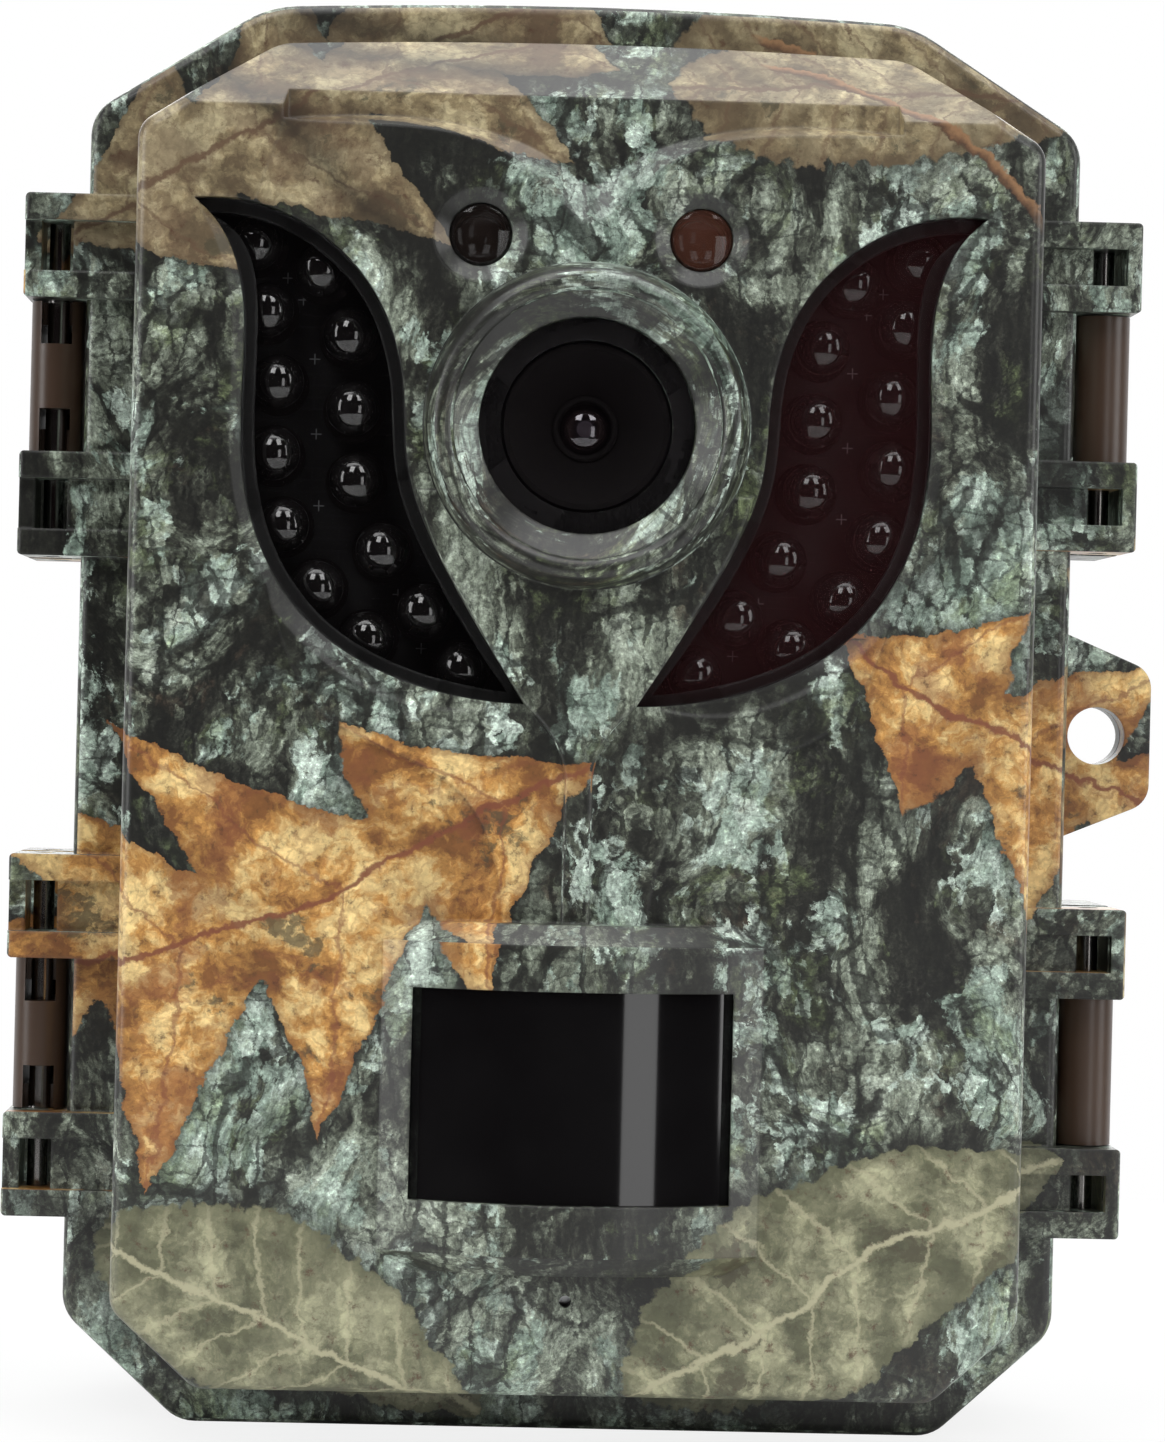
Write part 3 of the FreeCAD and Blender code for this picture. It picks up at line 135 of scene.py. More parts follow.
leafSizes = {"ragged": 2.9, "mottle": 7.7, "net": 1.4, "spots": 1.6, "sway": (7.0, 7.0, 0),
             "fray": (3.0, 3.0, 0), "shadow": 3.0, "rim": 1.9}
# how a blade is drawn: side veins lean to the tip, lobes or teeth follow them, veins in mm
leafForm = {"lean": -0.62, "root": -0.03, "tipLobed": 0.97, "tipPlain": 1.0, "fullness": 0.62,
            "plainRibs": 8, "lobeRound": 1.15, "lobe": (0.74, 0.26), "teeth": 22.0,
            "tooth": (0.12, 0.93), "pucker": (0.9, 0.72), "rung": (0.08, 0.32), "rib": (0.16, 0.42)}
leafTones = {"shadow": "#12120e", "burnt": "#45402f", "spots": "#4a2c1b"}
twigValues = {"start": (16, 131), "turn": -22, "length": 31, "half": 0.42, "soft": 0.25,
              "sag": 0.007, "butt": 1.5, "point": 4.0, "bark": "#8b6848", "shade": "#463022"}
# how the film lies: front of the door in mm, where a face counts as a side, and the bezel's rings
filmValues = {"panelFront": 42.0, "backShift": 9.0, "sideways": 0.62, "lens": (0.0, 94.1, 0.0),
              "bezel": 15.0, "smear": 9.0, "ringPlace": (232.0, 41.0, 0.0), "ringStep": 0.3,
              "frontal": 0.2}
# bark pattern, in mm across and up the trunk
barkSizes = {"ridge": (11.8, 27, 1), "plate": (6.7, 16, 1), "chip": (1.25, 2.2, 1),
             "scale": (2.8, 7.7, 1), "level": (7.7, 2, 1), "band": (14.3, 77, 1),
             "fibre": (0.63, 6.2, 1), "crust": (11.4, 17.9, 1), "moss": (12.5, 16.7, 1),
             "wander": (24, 24, 24), "torn": 2.8, "speck": 0.6, "drift": (4.0, 4.0, 4.0),
             "tear": (2.4, 2.4, 0), "light": (0.34, -0.30, 0.0)}
barkTones = {
    "plates": [(0.36, "#191a15"), (0.64, "#9da698"), (0.42, "#2d2f28"), (0.47, "#4a4f44"),
               (0.51, "#666d60"), (0.57, "#858e7f")],
    "lichen": [(0.0, "#67786c"), (1.0, "#bdccc0"), (0.5, "#90a194")],
    "speck": [(0.34, 0.36), (0.66, 1.9), (0.45, 0.86), (0.55, 1.12)],
    "mossDark": "#2b331f", "mossPale": "#77855c", "stain": "#615040", "crack": "#11120d"}
# where each growth starts and is full, and how much of it shows there
barkCover = {"band": (0.40, 0.47, 0.13, 0.0), "lichen": (0.51, 0.535, 0.0, 0.86),
             "moss": (0.54, 0.61, 0.0, 0.55), "stain": (0.58, 0.68, 0.0, 0.35)}
# cracks: pattern, width as a share of its cells, and how dark
crackValues = [("plate", 0.07, 0.8), ("scale", 0.06, 0.75), ("level", 0.05, 0.6)]
noiseMiddle = (0.5, 0.5, 0.5)


def unrolledFilm(node, place):
    # the film is laid over the sides, so its pattern runs on over every edge
    at = [node("SeparateXYZ", place, out=i) for i in (0, 1, 2)]
    normal = node("TexCoord", out="Normal")
    facing = [node("SeparateXYZ", normal, out=i) for i in (0, 1, 2)]
    depth = node("Math", at[1], filmValues["panelFront"], operation="ADD")
    flat = []
    for i in (0, 2):
        steep = node("Math", facing[i], operation="ABSOLUTE")
        steep = node("Math", steep, filmValues["sideways"], operation="GREATER_THAN")
        steep = node("Math", steep, node("Math", facing[i], operation="SIGN"), operation="MULTIPLY")
        flat.append(node("Math", steep, depth, at[i], operation="MULTIPLY_ADD"))
    back = node("Math", facing[1], filmValues["sideways"], operation="GREATER_THAN")
    turn = node("Math", back, -2.0, 1.0, operation="MULTIPLY_ADD")
    shift = node("Math", back, filmValues["backShift"], operation="MULTIPLY")
    across = node("Math", flat[0], turn, shift, operation="MULTIPLY_ADD")
    # the film stretches around the lens bezel, so there its pattern runs in rings
    sheet = node("CombineXYZ", across, flat[1])
    fromLens = node("VectorMath", sheet, filmValues["lens"], operation="SUBTRACT")
    reach = node("VectorMath", fromLens, operation="LENGTH", out="Value")
    around = node("VectorMath", fromLens, operation="NORMALIZE")
    ring = node("VectorMath", around, (filmValues["smear"],) * 3, filmValues["ringPlace"],
                operation="MULTIPLY_ADD")
    layer = node("Math", reach, filmValues["ringStep"], operation="MULTIPLY")
    ring = node("VectorMath", ring, node("CombineXYZ", None, None, layer), operation="ADD")
    front = node("Math", facing[1], filmValues["frontal"], operation="LESS_THAN")
    inside = node("Math", node("Math", reach, filmValues["bezel"], operation="LESS_THAN"), front,
                  operation="MULTIPLY")
    return node("MixRGB", inside, sheet, ring)


def barkHeight(node, flat):
    # long flaky plates that stand up between furrows
    stretched = node("VectorMath", flat, barkSizes["ridge"], operation="DIVIDE")
    return node("TexNoise", stretched, named={"Scale": 1.0, "Detail": 8.0, "Roughness": 0.74})


def barkPrint(node, flat):
    wander = node("VectorMath", flat, barkSizes["wander"], operation="DIVIDE")
    wander = node("TexNoise", wander, out=1, named={"Scale": 1.0, "Detail": 2.0, "Roughness": 0.5})
    wander = node("VectorMath", wander, noiseMiddle, operation="SUBTRACT")
    torn = node("TexNoise", flat, out=1, named={"Scale": 1 / barkSizes["torn"], "Detail": 6.0,
                                                "Roughness": 0.74})
    torn = node("VectorMath", torn, noiseMiddle, operation="SUBTRACT")
    bent = node("VectorMath", wander, barkSizes["drift"], flat, operation="MULTIPLY_ADD")
    bent = node("VectorMath", torn, barkSizes["tear"], bent, operation="MULTIPLY_ADD")
    laid = {name: node("VectorMath", bent, barkSizes[name], operation="DIVIDE")
            for name in ("plate", "chip", "scale", "level", "band", "fibre", "crust", "moss")}
    height = barkHeight(node, bent)
    lit = node("VectorMath", bent, barkSizes["light"], operation="ADD")
    slope = node("Math", height, barkHeight(node, lit), operation="SUBTRACT")
    # plates differ in tone, and so do the chips that flake off them
    plate = node("TexVoronoi", laid["plate"], out="Color", named={"Scale": 1.0})
    plate = node("Math", node("SeparateXYZ", plate), 0.5, operation="SUBTRACT")
    chip = node("TexVoronoi", laid["chip"], out="Color", named={"Scale": 1.0})
    chip = node("SeparateXYZ", chip)
    flake = node("Math", chip, 0.5, operation="SUBTRACT")
    tone = node("Math", plate, 0.06, height, operation="MULTIPLY_ADD")
    tone = node("Math", flake, 0.10, tone, operation="MULTIPLY_ADD")
    # a few long bands lie deep between the ridges of the trunk
    band = node("TexNoise", laid["band"], named={"Scale": 1.0, "Detail": 4.0, "Roughness": 0.5})
    band = node("MapRange", band, *barkCover["band"])
    tone = node("Math", tone, band, operation="SUBTRACT")
    colour = node("ValToRGB", tone, stops=barkTones["plates"])
    # fibres run down the furrows
    fibre = node("TexNoise", laid["fibre"], named={"Scale": 1.0, "Detail": 4.0, "Roughness": 0.6})
    fibre = node("MapRange", fibre, 0.38, 0.62, 0.45, 1.5)
    low = node("MapRange", tone, 0.40, 0.52, 1.0, 0.0)
    fibre = node("CombineXYZ", fibre, fibre, fibre)
    colour = node("MixRGB", low, colour, fibre, blend_type="MULTIPLY")
    # lichen: pale grey-green crusts with ragged rims, ending where a plate ends
    crust = node("TexNoise", laid["crust"], out=1, named={"Scale": 1.0, "Detail": 7.0,
                                                          "Roughness": 0.7})
    grown = node("Math", plate, 0.07, node("SeparateXYZ", crust), operation="MULTIPLY_ADD")
    grown = node("Math", flake, 0.05, grown, operation="MULTIPLY_ADD")
    grown = node("Math", band, -0.8, grown, operation="MULTIPLY_ADD")
    grown = node("MapRange", grown, *barkCover["lichen"])
    tinge = node("Math", node("SeparateXYZ", crust, out=1), 0.75,
                 node("Math", chip, 0.25, operation="MULTIPLY"), operation="MULTIPLY_ADD")
    lichen = node("ValToRGB", node("MapRange", tinge, 0.34, 0.66), stops=barkTones["lichen"])
    colour = node("MixRGB", grown, colour, lichen)
    # moss in the damp places, and a little brown stain
    moss = node("TexNoise", laid["moss"], out=1, named={"Scale": 1.0, "Detail": 6.0,
                                                        "Roughness": 0.75})
    mossy = node("MapRange", node("SeparateXYZ", moss), *barkCover["moss"])
    green = node("MixRGB", node("MapRange", height, 0.35, 0.65), barkTones["mossDark"],
                 barkTones["mossPale"])
    colour = node("MixRGB", mossy, colour, green)
    stain = node("MapRange", node("SeparateXYZ", moss, out=1), *barkCover["stain"])
    colour = node("MixRGB", stain, colour, barkTones["stain"])
    # furrows round the plates, finer cracks between scales, and short ones that run level
    for name, width, deep in crackValues:
        line = node("TexVoronoi", laid[name], feature="DISTANCE_TO_EDGE", named={"Scale": 1.0})
        wide = node("MapRange", node("SeparateXYZ", moss, out=2), 0.42, 0.58, -0.015, width)
        line = node("Math", line, wide, operation="SUBTRACT")
        line = node("MapRange", line, 0.015, -0.01, 0.0, deep)
        colour = node("MixRGB", line, colour, barkTones["crack"])
    # printed light and shade of the rough surface
    shade = node("Math", slope, 9.5, 1.0, operation="MULTIPLY_ADD")
    shade = node("MapRange", shade, 0.28, 2.2, 0.28, 2.2)
    shade = node("CombineXYZ", shade, shade, shade)
    colour = node("MixRGB", 1.0, colour, shade, blend_type="MULTIPLY")
    speck = node("TexNoise", flat, named={"Scale": 1 / barkSizes["speck"], "Detail": 4.0,
                                          "Roughness": 0.8})
    speck = node("ValToRGB", speck, stops=barkTones["speck"])
    return node("MixRGB", 1.0, colour, speck, blend_type="MULTIPLY"), wander


def leafDetail(node, flat, wander):
    # what all the leaves share: wobble of the rims, mottling, spots and the net of small veins
    ragged = node("TexNoise", flat, out=1, named={"Scale": 1 / leafSizes["ragged"], "Detail": 5.0,
                                                  "Roughness": 0.66})
    ragged = node("VectorMath", ragged, noiseMiddle, operation="SUBTRACT")
    moved = node("VectorMath", wander, leafSizes["sway"], flat, operation="MULTIPLY_ADD")
    moved = node("VectorMath", ragged, leafSizes["fray"], moved, operation="MULTIPLY_ADD")
    mottle = node("TexNoise", moved, out=1, named={"Scale": 1 / leafSizes["mottle"], "Detail": 6.0,
                                                   "Roughness": 0.7})
    net = node("TexVoronoi", moved, feature="DISTANCE_TO_EDGE",
               named={"Scale": 1 / leafSizes["net"]})
    spots = node("TexNoise", flat, named={"Scale": 1 / leafSizes["spots"], "Detail": 5.0,
                                          "Roughness": 0.75})
    return {"u": node("SeparateXYZ", moved), "v": node("SeparateXYZ", moved, out=1),
            "mottle": node("SeparateXYZ", mottle), "blush": node("SeparateXYZ", mottle, out=1),
            "burnt": node("SeparateXYZ", mottle, out=2), "spots": spots,
            "net": node("MapRange", net, 0.03, 0.12, 0.3, 0.0)}


def alongLine(node, shared, start, degrees, size):
    # places measured along and across a line on the film, as shares of size
    turn = math.radians(degrees)
    dx = node("Math", shared["u"], start[0], operation="SUBTRACT")
    dz = node("Math", shared["v"], start[1], operation="SUBTRACT")
    rise = node("Math", dz, math.sin(turn) / size, operation="MULTIPLY")
    along = node("Math", dx, math.cos(turn) / size, rise, operation="MULTIPLY_ADD")
    run = node("Math", dz, math.cos(turn) / size, operation="MULTIPLY")
    return along, node("Math", dx, -math.sin(turn) / size, run, operation="MULTIPLY_ADD")


def leafPrint(node, colour, shared, leaf):
    form, size, lobed = leafForm, leaf["length"], leaf["lobes"] > 0
    along, over = alongLine(node, shared, leaf["base"], leaf["turn"], size)
    bow = node("Math", along, along, operation="MULTIPLY")
    bow = node("Math", bow, leaf["bend"], operation="MULTIPLY")
    side = node("Math", node("Math", over, bow, operation="SUBTRACT"), operation="ABSOLUTE")
    # side veins lean towards the tip, and each lobe grows along one
    place = node("Math", side, form["lean"], along, operation="MULTIPLY_ADD")
    tip = form["tipLobed" if lobed else "tipPlain"]
    swell = node("MapRange", place, form["root"], tip, 0.0, math.pi)
    swell = node("Math", node("Math", swell, operation="SINE"), form["fullness"], operation="POWER")
    ribs = leaf["lobes"] or form["plainRibs"]
    wave = node("Math", node("Math", place, ribs, operation="MULTIPLY"), 0.5, operation="PINGPONG")
    if lobed:
        lobe = node("Math", node("Math", wave, 2.0, operation="MULTIPLY"), form["lobeRound"],
                    operation="POWER")
        lobe = node("Math", lobe, *form["lobe"], operation="MULTIPLY_ADD")
    else:
        lobe = node("Math", node("Math", place, form["teeth"], operation="MULTIPLY"), 0.5,
                    operation="PINGPONG")
        lobe = node("Math", lobe, *form["tooth"], operation="MULTIPLY_ADD")
    swell = node("Math", swell, lobe, operation="MULTIPLY")
    swell = node("Math", swell, leaf["half"], operation="MULTIPLY")
    inset = node("Math", side, -size, swell, operation="MULTIPLY_ADD")
    shadow = node("MapRange", inset, -leafSizes["shadow"], 0.2, 0.0, 0.72)
    colour = node("MixRGB", shadow, colour, leafTones["shadow"])
    tint = node("ValToRGB", shared["mottle"], stops=[(0.41, leaf["dark"]), (0.57, leaf["pale"]),
                (0.49, leaf["middle"])])
    fine = node("MapRange", shared["spots"], 0.36, 0.6, 1.2, 0.78)
    tint = node("MixRGB", 1.0, tint, node("CombineXYZ", fine, fine, fine), blend_type="MULTIPLY")
    blush = node("MapRange", shared["blush"], 0.50, 0.57, 0.0, 0.5)
    tint = node("MixRGB", blush, tint, leaf["vein" if lobed else "dark"])
    # the blade is puckered between its veins
    pucker = node("Math", wave, *form["pucker"], operation="MULTIPLY_ADD")
    pucker = node("CombineXYZ", pucker, pucker, pucker)
    tint = node("MixRGB", 0.8, tint, pucker, blend_type="MULTIPLY")
    tint = node("MixRGB", shared["net"], tint, leaf["dark"])
    burnt = node("MapRange", shared["burnt"], 0.60, 0.64, 0.0, 0.75)
    tint = node("MixRGB", burnt, tint, leafTones["burnt"])
    rung = node("Math", 0.5, wave, operation="SUBTRACT")
    rung = node("MapRange", rung, *(width * ribs / size for width in form["rung"]), 0.6, 0.0)
    rib = node("MapRange", side, *(width / size for width in form["rib"]), 0.9, 0.0)
    tint = node("MixRGB", node("Math", rung, rib, operation="MAXIMUM"), tint, leaf["vein"])
    rim = node("MapRange", inset, 0.1, leafSizes["rim"], 0.7, 0.0)
    tint = node("MixRGB", rim, tint, leaf["dark"])
    spots = node("MapRange", shared["spots"], 0.58, 0.68, 0.0, 0.75)
    tint = node("MixRGB", spots, tint, leafTones["spots"])
    return node("MixRGB", node("MapRange", inset, 0.0, 0.25), colour, tint)


def twigPrint(node, colour, shared, twig):
    along, over = alongLine(node, shared, twig["start"], twig["turn"], 1.0)
    sag = node("Math", along, along, operation="MULTIPLY")
    sag = node("Math", sag, twig["sag"], operation="MULTIPLY")
    over = node("Math", over, sag, operation="ADD")
    ends = node("Math", node("MapRange", along, 0.0, twig["butt"]),
                node("MapRange", along, twig["length"], twig["length"] - twig["point"]),
                operation="MULTIPLY")
    wide = node("Math", over, operation="ABSOLUTE")
    body = node("MapRange", wide, twig["half"] + twig["soft"], twig["half"], 0.0, 1.0)
    tint = node("MixRGB", node("MapRange", over, -0.5, 0.35), twig["shade"], twig["bark"])
    return node("MixRGB", node("Math", body, ends, operation="MULTIPLY"), colour, tint)


def rawInside(node, place, inside):
    mask = None
    for i in (0, 1, 2):
        at = node("SeparateXYZ", place, out=i)
        past = node("Math", at, inside["low"][i], operation="GREATER_THAN")
        short = node("Math", at, inside["high"][i], operation="LESS_THAN")
        both = node("Math", past, short, operation="MULTIPLY")
        mask = both if mask is None else node("Math", mask, both, operation="MULTIPLY")
    # the cut corners of the body: height against distance from the middle
    wide = node("Math", node("SeparateXYZ", place), operation="ABSOLUTE")
    for lean, limit, side in inside["corners"]:
        edge = node("Math", wide, lean, node("SeparateXYZ", place, out=2), operation="MULTIPLY_ADD")
        mask = node("Math", mask, node("Math", edge, limit, operation=side), operation="MULTIPLY")
    return mask


lacquerValues = {"peelScale": 0.7, "peelDepth": 2e-5, "edgeRadius": 4e-4, "rawAbs": "#070707"}


def woodlandFilm(name, inside):
    # water-transfer film over moulded ABS under satin lacquer: soft sheen, a faint orange peel
    material, node, surface, place = newMaterial(name, Roughness=0.42, IOR=1.5,
                                                 Coat_Weight=0.25, Coat_Roughness=0.2)
    flat = unrolledFilm(node, place)
    colour, wander = barkPrint(node, flat)
    shared = leafDetail(node, flat, wander)
    for leaf in leafValues:
        colour = leafPrint(node, colour, shared, leaf)
    colour = twigPrint(node, colour, shared, twigValues)
    colour = node("MixRGB", rawInside(node, place, inside), colour, lacquerValues["rawAbs"])
    tree = material.node_tree
    tree.links.new(colour, surface["Base Color"])
    peel = node("TexNoise", place, named={"Scale": lacquerValues["peelScale"], "Detail": 2.0})
    rounded = node("Bevel", samples=4, named={"Radius": lacquerValues["edgeRadius"]})
    tree.links.new(node("Bump", named={"Height": peel, "Distance": lacquerValues["peelDepth"],
                   "Strength": 0.4, "Normal": rounded}), surface["Normal"])
    return material


# the film stops at the openings: bare black ABS inside these boxes, low and high corner in mm
cutCorners = ((0.636, 150.5, "LESS_THAN"), (-0.911, -28.5, "GREATER_THAN"))
doorInside = {"low": (-37.4, -40.7, 8.0), "high": (37.4, -16.0, 119.0), "corners": cutCorners}
rearInside = {"low": (-43.5, -16.2, 3.2), "high": (43.5, 9.3, 131.8), "corners": cutCorners}
paint(woodlandFilm("doorWoodlandFilm", doorInside), "front_cover")
paint(woodlandFilm("rearWoodlandFilm", rearInside), "rear_housing")
print("woodland print made")


# spark-eroded mould texture: matt grain, a slow change of tone, edges stay soft
plasticFinishes = {
    "brownAcetal": {"colour": "#3d2d22", "roughness": 0.34, "grain": 0.6, "depth": 12e-6},
    "blackAbs": {"colour": "#18181a", "roughness": 0.5, "grain": 0.4, "depth": 10e-6},
    "greyKeyRubber": {"colour": "#5c5f62", "roughness": 0.55, "grain": 0.4, "depth": 8e-6},
    "softSealRubber": {"colour": "#161616", "roughness": 0.7, "grain": 0.6, "depth": 20e-6},
    "cardShell": {"colour": "#1c1d22", "roughness": 0.45, "grain": 0.5, "depth": 6e-6},
    "whiteLegendInk": {"colour": "#8d9092", "roughness": 0.6, "grain": 0.3, "depth": 2e-6},
}


def mouldedPlastic(name, finish):
    material, node, surface, place = newMaterial(name, IOR=1.5)
    cloud = node("TexNoise", place, named={"Scale": 0.07, "Detail": 4.0})
    lighter = node("MixRGB", 0.3, finish["colour"], "#ffffff", blend_type="SOFT_LIGHT")
    grain = node("TexNoise", place, named={"Scale": 1 / finish["grain"], "Detail": 3.0,
                                           "Roughness": 0.6})
    tree = material.node_tree
    tree.links.new(node("MixRGB", cloud, finish["colour"], lighter), surface["Base Color"])
    tree.links.new(node("Math", grain, 0.16, finish["roughness"] - 0.08, operation="MULTIPLY_ADD"),
                   surface["Roughness"])
    tree.links.new(node("Bump", named={"Height": grain, "Distance": finish["depth"],
                                       "Strength": 0.6}), surface["Normal"])
    return material


# drawn, rolled or turned metal: fine lines along the work, brighter where they catch the light
metalFinishes = {
    "darkPinSteel": {"colour": "#5a5550", "roughness": 0.2, "lines": (2.0, 2.0, 0.1)},
    "zincPlatedSteel": {"colour": "#a9abad", "roughness": 0.3, "lines": (2.0, 0.2, 2.0)},
    "nickelPlate": {"colour": "#b8b2a4", "roughness": 0.28, "lines": (0.4, 2.0, 2.0)},
    "turnedBrass": {"colour": "#b58e45", "roughness": 0.28, "lines": (2.0, 2.0, 0.4)},
    "cellCan": {"colour": "#8d9094", "roughness": 0.3, "lines": (2.0, 2.0, 0.2)},
}


def workedMetal(name, finish):
    material, node, surface, place = newMaterial(name, Metallic=1.0)
    lines = node("TexNoise", node("VectorMath", place, finish["lines"], operation="MULTIPLY"),
                 named={"Scale": 1.0, "Detail": 4.0, "Roughness": 0.7})
    bright = node("MixRGB", 0.35, finish["colour"], "#ffffff")
    tree = material.node_tree
    tree.links.new(node("MixRGB", lines, finish["colour"], bright), surface["Base Color"])
    tree.links.new(node("Math", lines, 0.2, finish["roughness"] - 0.1, operation="MULTIPLY_ADD"),
                   surface["Roughness"])
    tree.links.new(node("Bump", named={"Height": lines, "Distance": 4e-6, "Strength": 0.5}),
                   surface["Normal"])
    return material


# thin clear sheets, tinted in the mass: clean reflections, and what is behind shows through
clearFinishes = {
    "infraredAcrylicLeft": {"tint": "#0a0708", "cover": 0.10, "haze": 0.01, "IOR": 1.49},
    "infraredAcrylicRight": {"tint": "#341819", "cover": 0.2, "haze": 0.01, "IOR": 1.49},
    "coatedGlass": {"tint": "#0c0709", "cover": 0.08, "haze": 0.0, "IOR": 1.52},
    "smokedAcrylic": {"tint": "#1c1512", "cover": 0.45, "haze": 0.01, "IOR": 1.49},
    "redAcrylic": {"tint": "#4e2f24", "cover": 0.5, "haze": 0.01, "IOR": 1.49},
}


def clearSheet(name, finish):
    material, node, surface, place = newMaterial(name, IOR=finish["IOR"], Alpha=finish["cover"])
    haze = node("TexNoise", place, named={"Scale": 0.16, "Detail": 3.0})
    streak = node("MixRGB", 0.008, finish["tint"], "#ffffff")
    tree = material.node_tree
    tree.links.new(node("MixRGB", haze, finish["tint"], streak), surface["Base Color"])
    tree.links.new(node("Math", haze, 0.02, finish["haze"], operation="MULTIPLY_ADD"),
                   surface["Roughness"])
    return material


# polished opaque mouldings, inks and films: deep black under a clear surface
glossFinishes = {
    "smokedLampEpoxy": {"colour": "#0d0b0b", "roughness": 0.04, "coat": 1.0},
    "clearLampEpoxy": {"colour": "#5b4c42", "roughness": 0.05, "coat": 1.0},
    "redLampEpoxy": {"colour": "#7d4838", "roughness": 0.06, "coat": 1.0},
    "screenPrintInk": {"colour": "#161415", "roughness": 0.25, "coat": 0.0},
    "sensorWindowFilm": {"colour": "#050405", "roughness": 0.05, "coat": 0.0},
    "screenCover": {"colour": "#0a0b0d", "roughness": 0.08, "coat": 0.0},
    "displayPanel": {"colour": "#1b1f24", "roughness": 0.3, "coat": 0.0},
    "sensorDie": {"colour": "#1a1420", "roughness": 0.2, "coat": 0.5},
    "cellSleeveDark": {"colour": "#16181c", "roughness": 0.22, "coat": 0.5},
    "cellSleeveCopper": {"colour": "#a8662f", "roughness": 0.25, "coat": 0.5},
}


def glossyMoulding(name, finish):
    material, node, surface, place = newMaterial(name, IOR=1.5, Coat_Weight=finish["coat"],
                                                 Coat_Roughness=0.03)
    cloud = node("TexNoise", place, named={"Scale": 0.11, "Detail": 4.0})
    lighter = node("MixRGB", 0.006, finish["colour"], "#ffffff")
    tree = material.node_tree
    tree.links.new(node("MixRGB", cloud, finish["colour"], lighter), surface["Base Color"])
    tree.links.new(node("Math", cloud, 0.02, finish["roughness"], operation="MULTIPLY_ADD"),
                   surface["Roughness"])
    return material


# solder mask over etched copper: dull board colour, slightly raised tracks
boardFinishes = {
    "blackSolderMask": {"mask": "#060607", "track": "#101113"},
    "maroonSolderMask": {"mask": "#1a0e0f", "track": "#241416"},
    "greenSolderMask": {"mask": "#123d22", "track": "#1f6135"},
}


def circuitBoard(name, finish):
    material, node, surface, place = newMaterial(name, Roughness=0.4, IOR=1.5)
    flat = node("CombineXYZ", node("SeparateXYZ", place), node("SeparateXYZ", place, out=2))
    tracks = node("TexBrick", flat, out="Fac", offset=0.37,
                  named={"Scale": 1.0, "Mortar Size": 0.09, "Mortar Smooth": 0.1,
                         "Brick Width": 4.2, "Row Height": 1.1})
    broken = node("TexNoise", place, named={"Scale": 0.2, "Detail": 2.0})
    broken = node("MapRange", broken, 0.47, 0.5)
    tracks = node("Math", tracks, broken, operation="MULTIPLY")
    tree = material.node_tree
    tree.links.new(node("MixRGB", tracks, finish["mask"], finish["track"]), surface["Base Color"])
    tree.links.new(node("Bump", named={"Height": tracks, "Distance": 3e-5, "Strength": 0.6}),
                   surface["Normal"])
    return material


def lensElementGlass(values):
    # multi-coated glass in a black cell: dark brown rim, a paler pupil that is a painted
    # reflection, violet in the highlights
    material, node, surface, place = newMaterial("multiCoatedLens", Roughness=0.0, IOR=1.6,
                                                 Coat_Weight=1.0, Coat_Roughness=0.0,
                                                 Coat_Tint="#ece6f2")
    flat = node("VectorMath", place, (1, 0, 1), operation="MULTIPLY")
    reach = node("VectorMath", flat, (values["x"], 0, values["z"]), operation="DISTANCE",
                 out="Value")
    # the pale stop at the centre of this ramp is a painted reflection in the pupil
    rimAndPaintedPupil = node("ValToRGB", node("Math", reach, 1 / values["rim"], operation="MULTIPLY"),
                 stops=[(0.30, "#3f3a3d"), (0.95, "#171213"), (0.42, "#0a0809"), (0.60, "#2a2220")])
    material.node_tree.links.new(rimAndPaintedPupil, surface["Base Color"])
    return material


def barrelPaint():
    # matt black optical paint: swallows light, no glint in its bore
    material, node, surface, place = newMaterial("mattBlackPaint", Roughness=0.75,
                                                 Specular_IOR_Level=0.12)
    tooth = node("TexNoise", place, named={"Scale": 4.0, "Detail": 3.0})
    tree = material.node_tree
    tree.links.new(node("MixRGB", tooth, "#050404", "#0f0a0b"), surface["Base Color"])
    tree.links.new(node("Bump", named={"Height": tooth, "Distance": 6e-6, "Strength": 0.5}),
                   surface["Normal"])
    return material


lensValues = {"x": 0.0, "z": 94.1, "rim": 2.35}
plastics = {name: mouldedPlastic(name, finish) for name, finish in plasticFinishes.items()}
metals = {name: workedMetal(name, finish) for name, finish in metalFinishes.items()}
clears = {name: clearSheet(name, finish) for name, finish in clearFinishes.items()}
glosses = {name: glossyMoulding(name, finish) for name, finish in glossFinishes.items()}
boards = {name: circuitBoard(name, finish) for name, finish in boardFinishes.items()}

paint(plastics["brownAcetal"], "hinge_link_lower", "hinge_link_upper", "latch_lower", "latch_upper")
paint(plastics["blackAbs"], "inner_panel", "battery_tray", "mode_switch_body", "dc_socket",
      "usb_socket", "speaker", "ir_cut_housing", "ir_cut_carriage")
paint(plastics["softSealRubber"], "door_seal", "dc_cover")
paint(plastics["greyKeyRubber"], "button_up", "button_down", "button_left", "button_right",
      "button_ok", "button_menu", "mode_switch_knob")
barrelBlack = barrelPaint()
paint(barrelBlack, "lens_barrel")
paint(plastics["cardShell"], "sd_card")
paint(metals["darkPinSteel"], "door_hinge_pins", "rear_hinge_pins", "latch_pins")
paint(metals["zincPlatedSteel"], "front_board_screws", "inner_panel_screws", "main_board_screws",
      "battery_tray_screws", "pir_sensor", "microphone", "tact_switches", "sd_socket")
paint(metals["nickelPlate"], "battery_contacts", "battery_springs")
paint(metals["turnedBrass"], "tripod_insert")
paint(metals["cellCan"], "aa_cells")
paint(clears["infraredAcrylicLeft"], "ir_window_left")
paint(clears["infraredAcrylicRight"], "ir_window_right")
paint(clears["coatedGlass"], "lens_window", "pir_filter_glass")
paint(clears["smokedAcrylic"], "light_sensor_window")
paint(clears["redAcrylic"], "status_led_window")
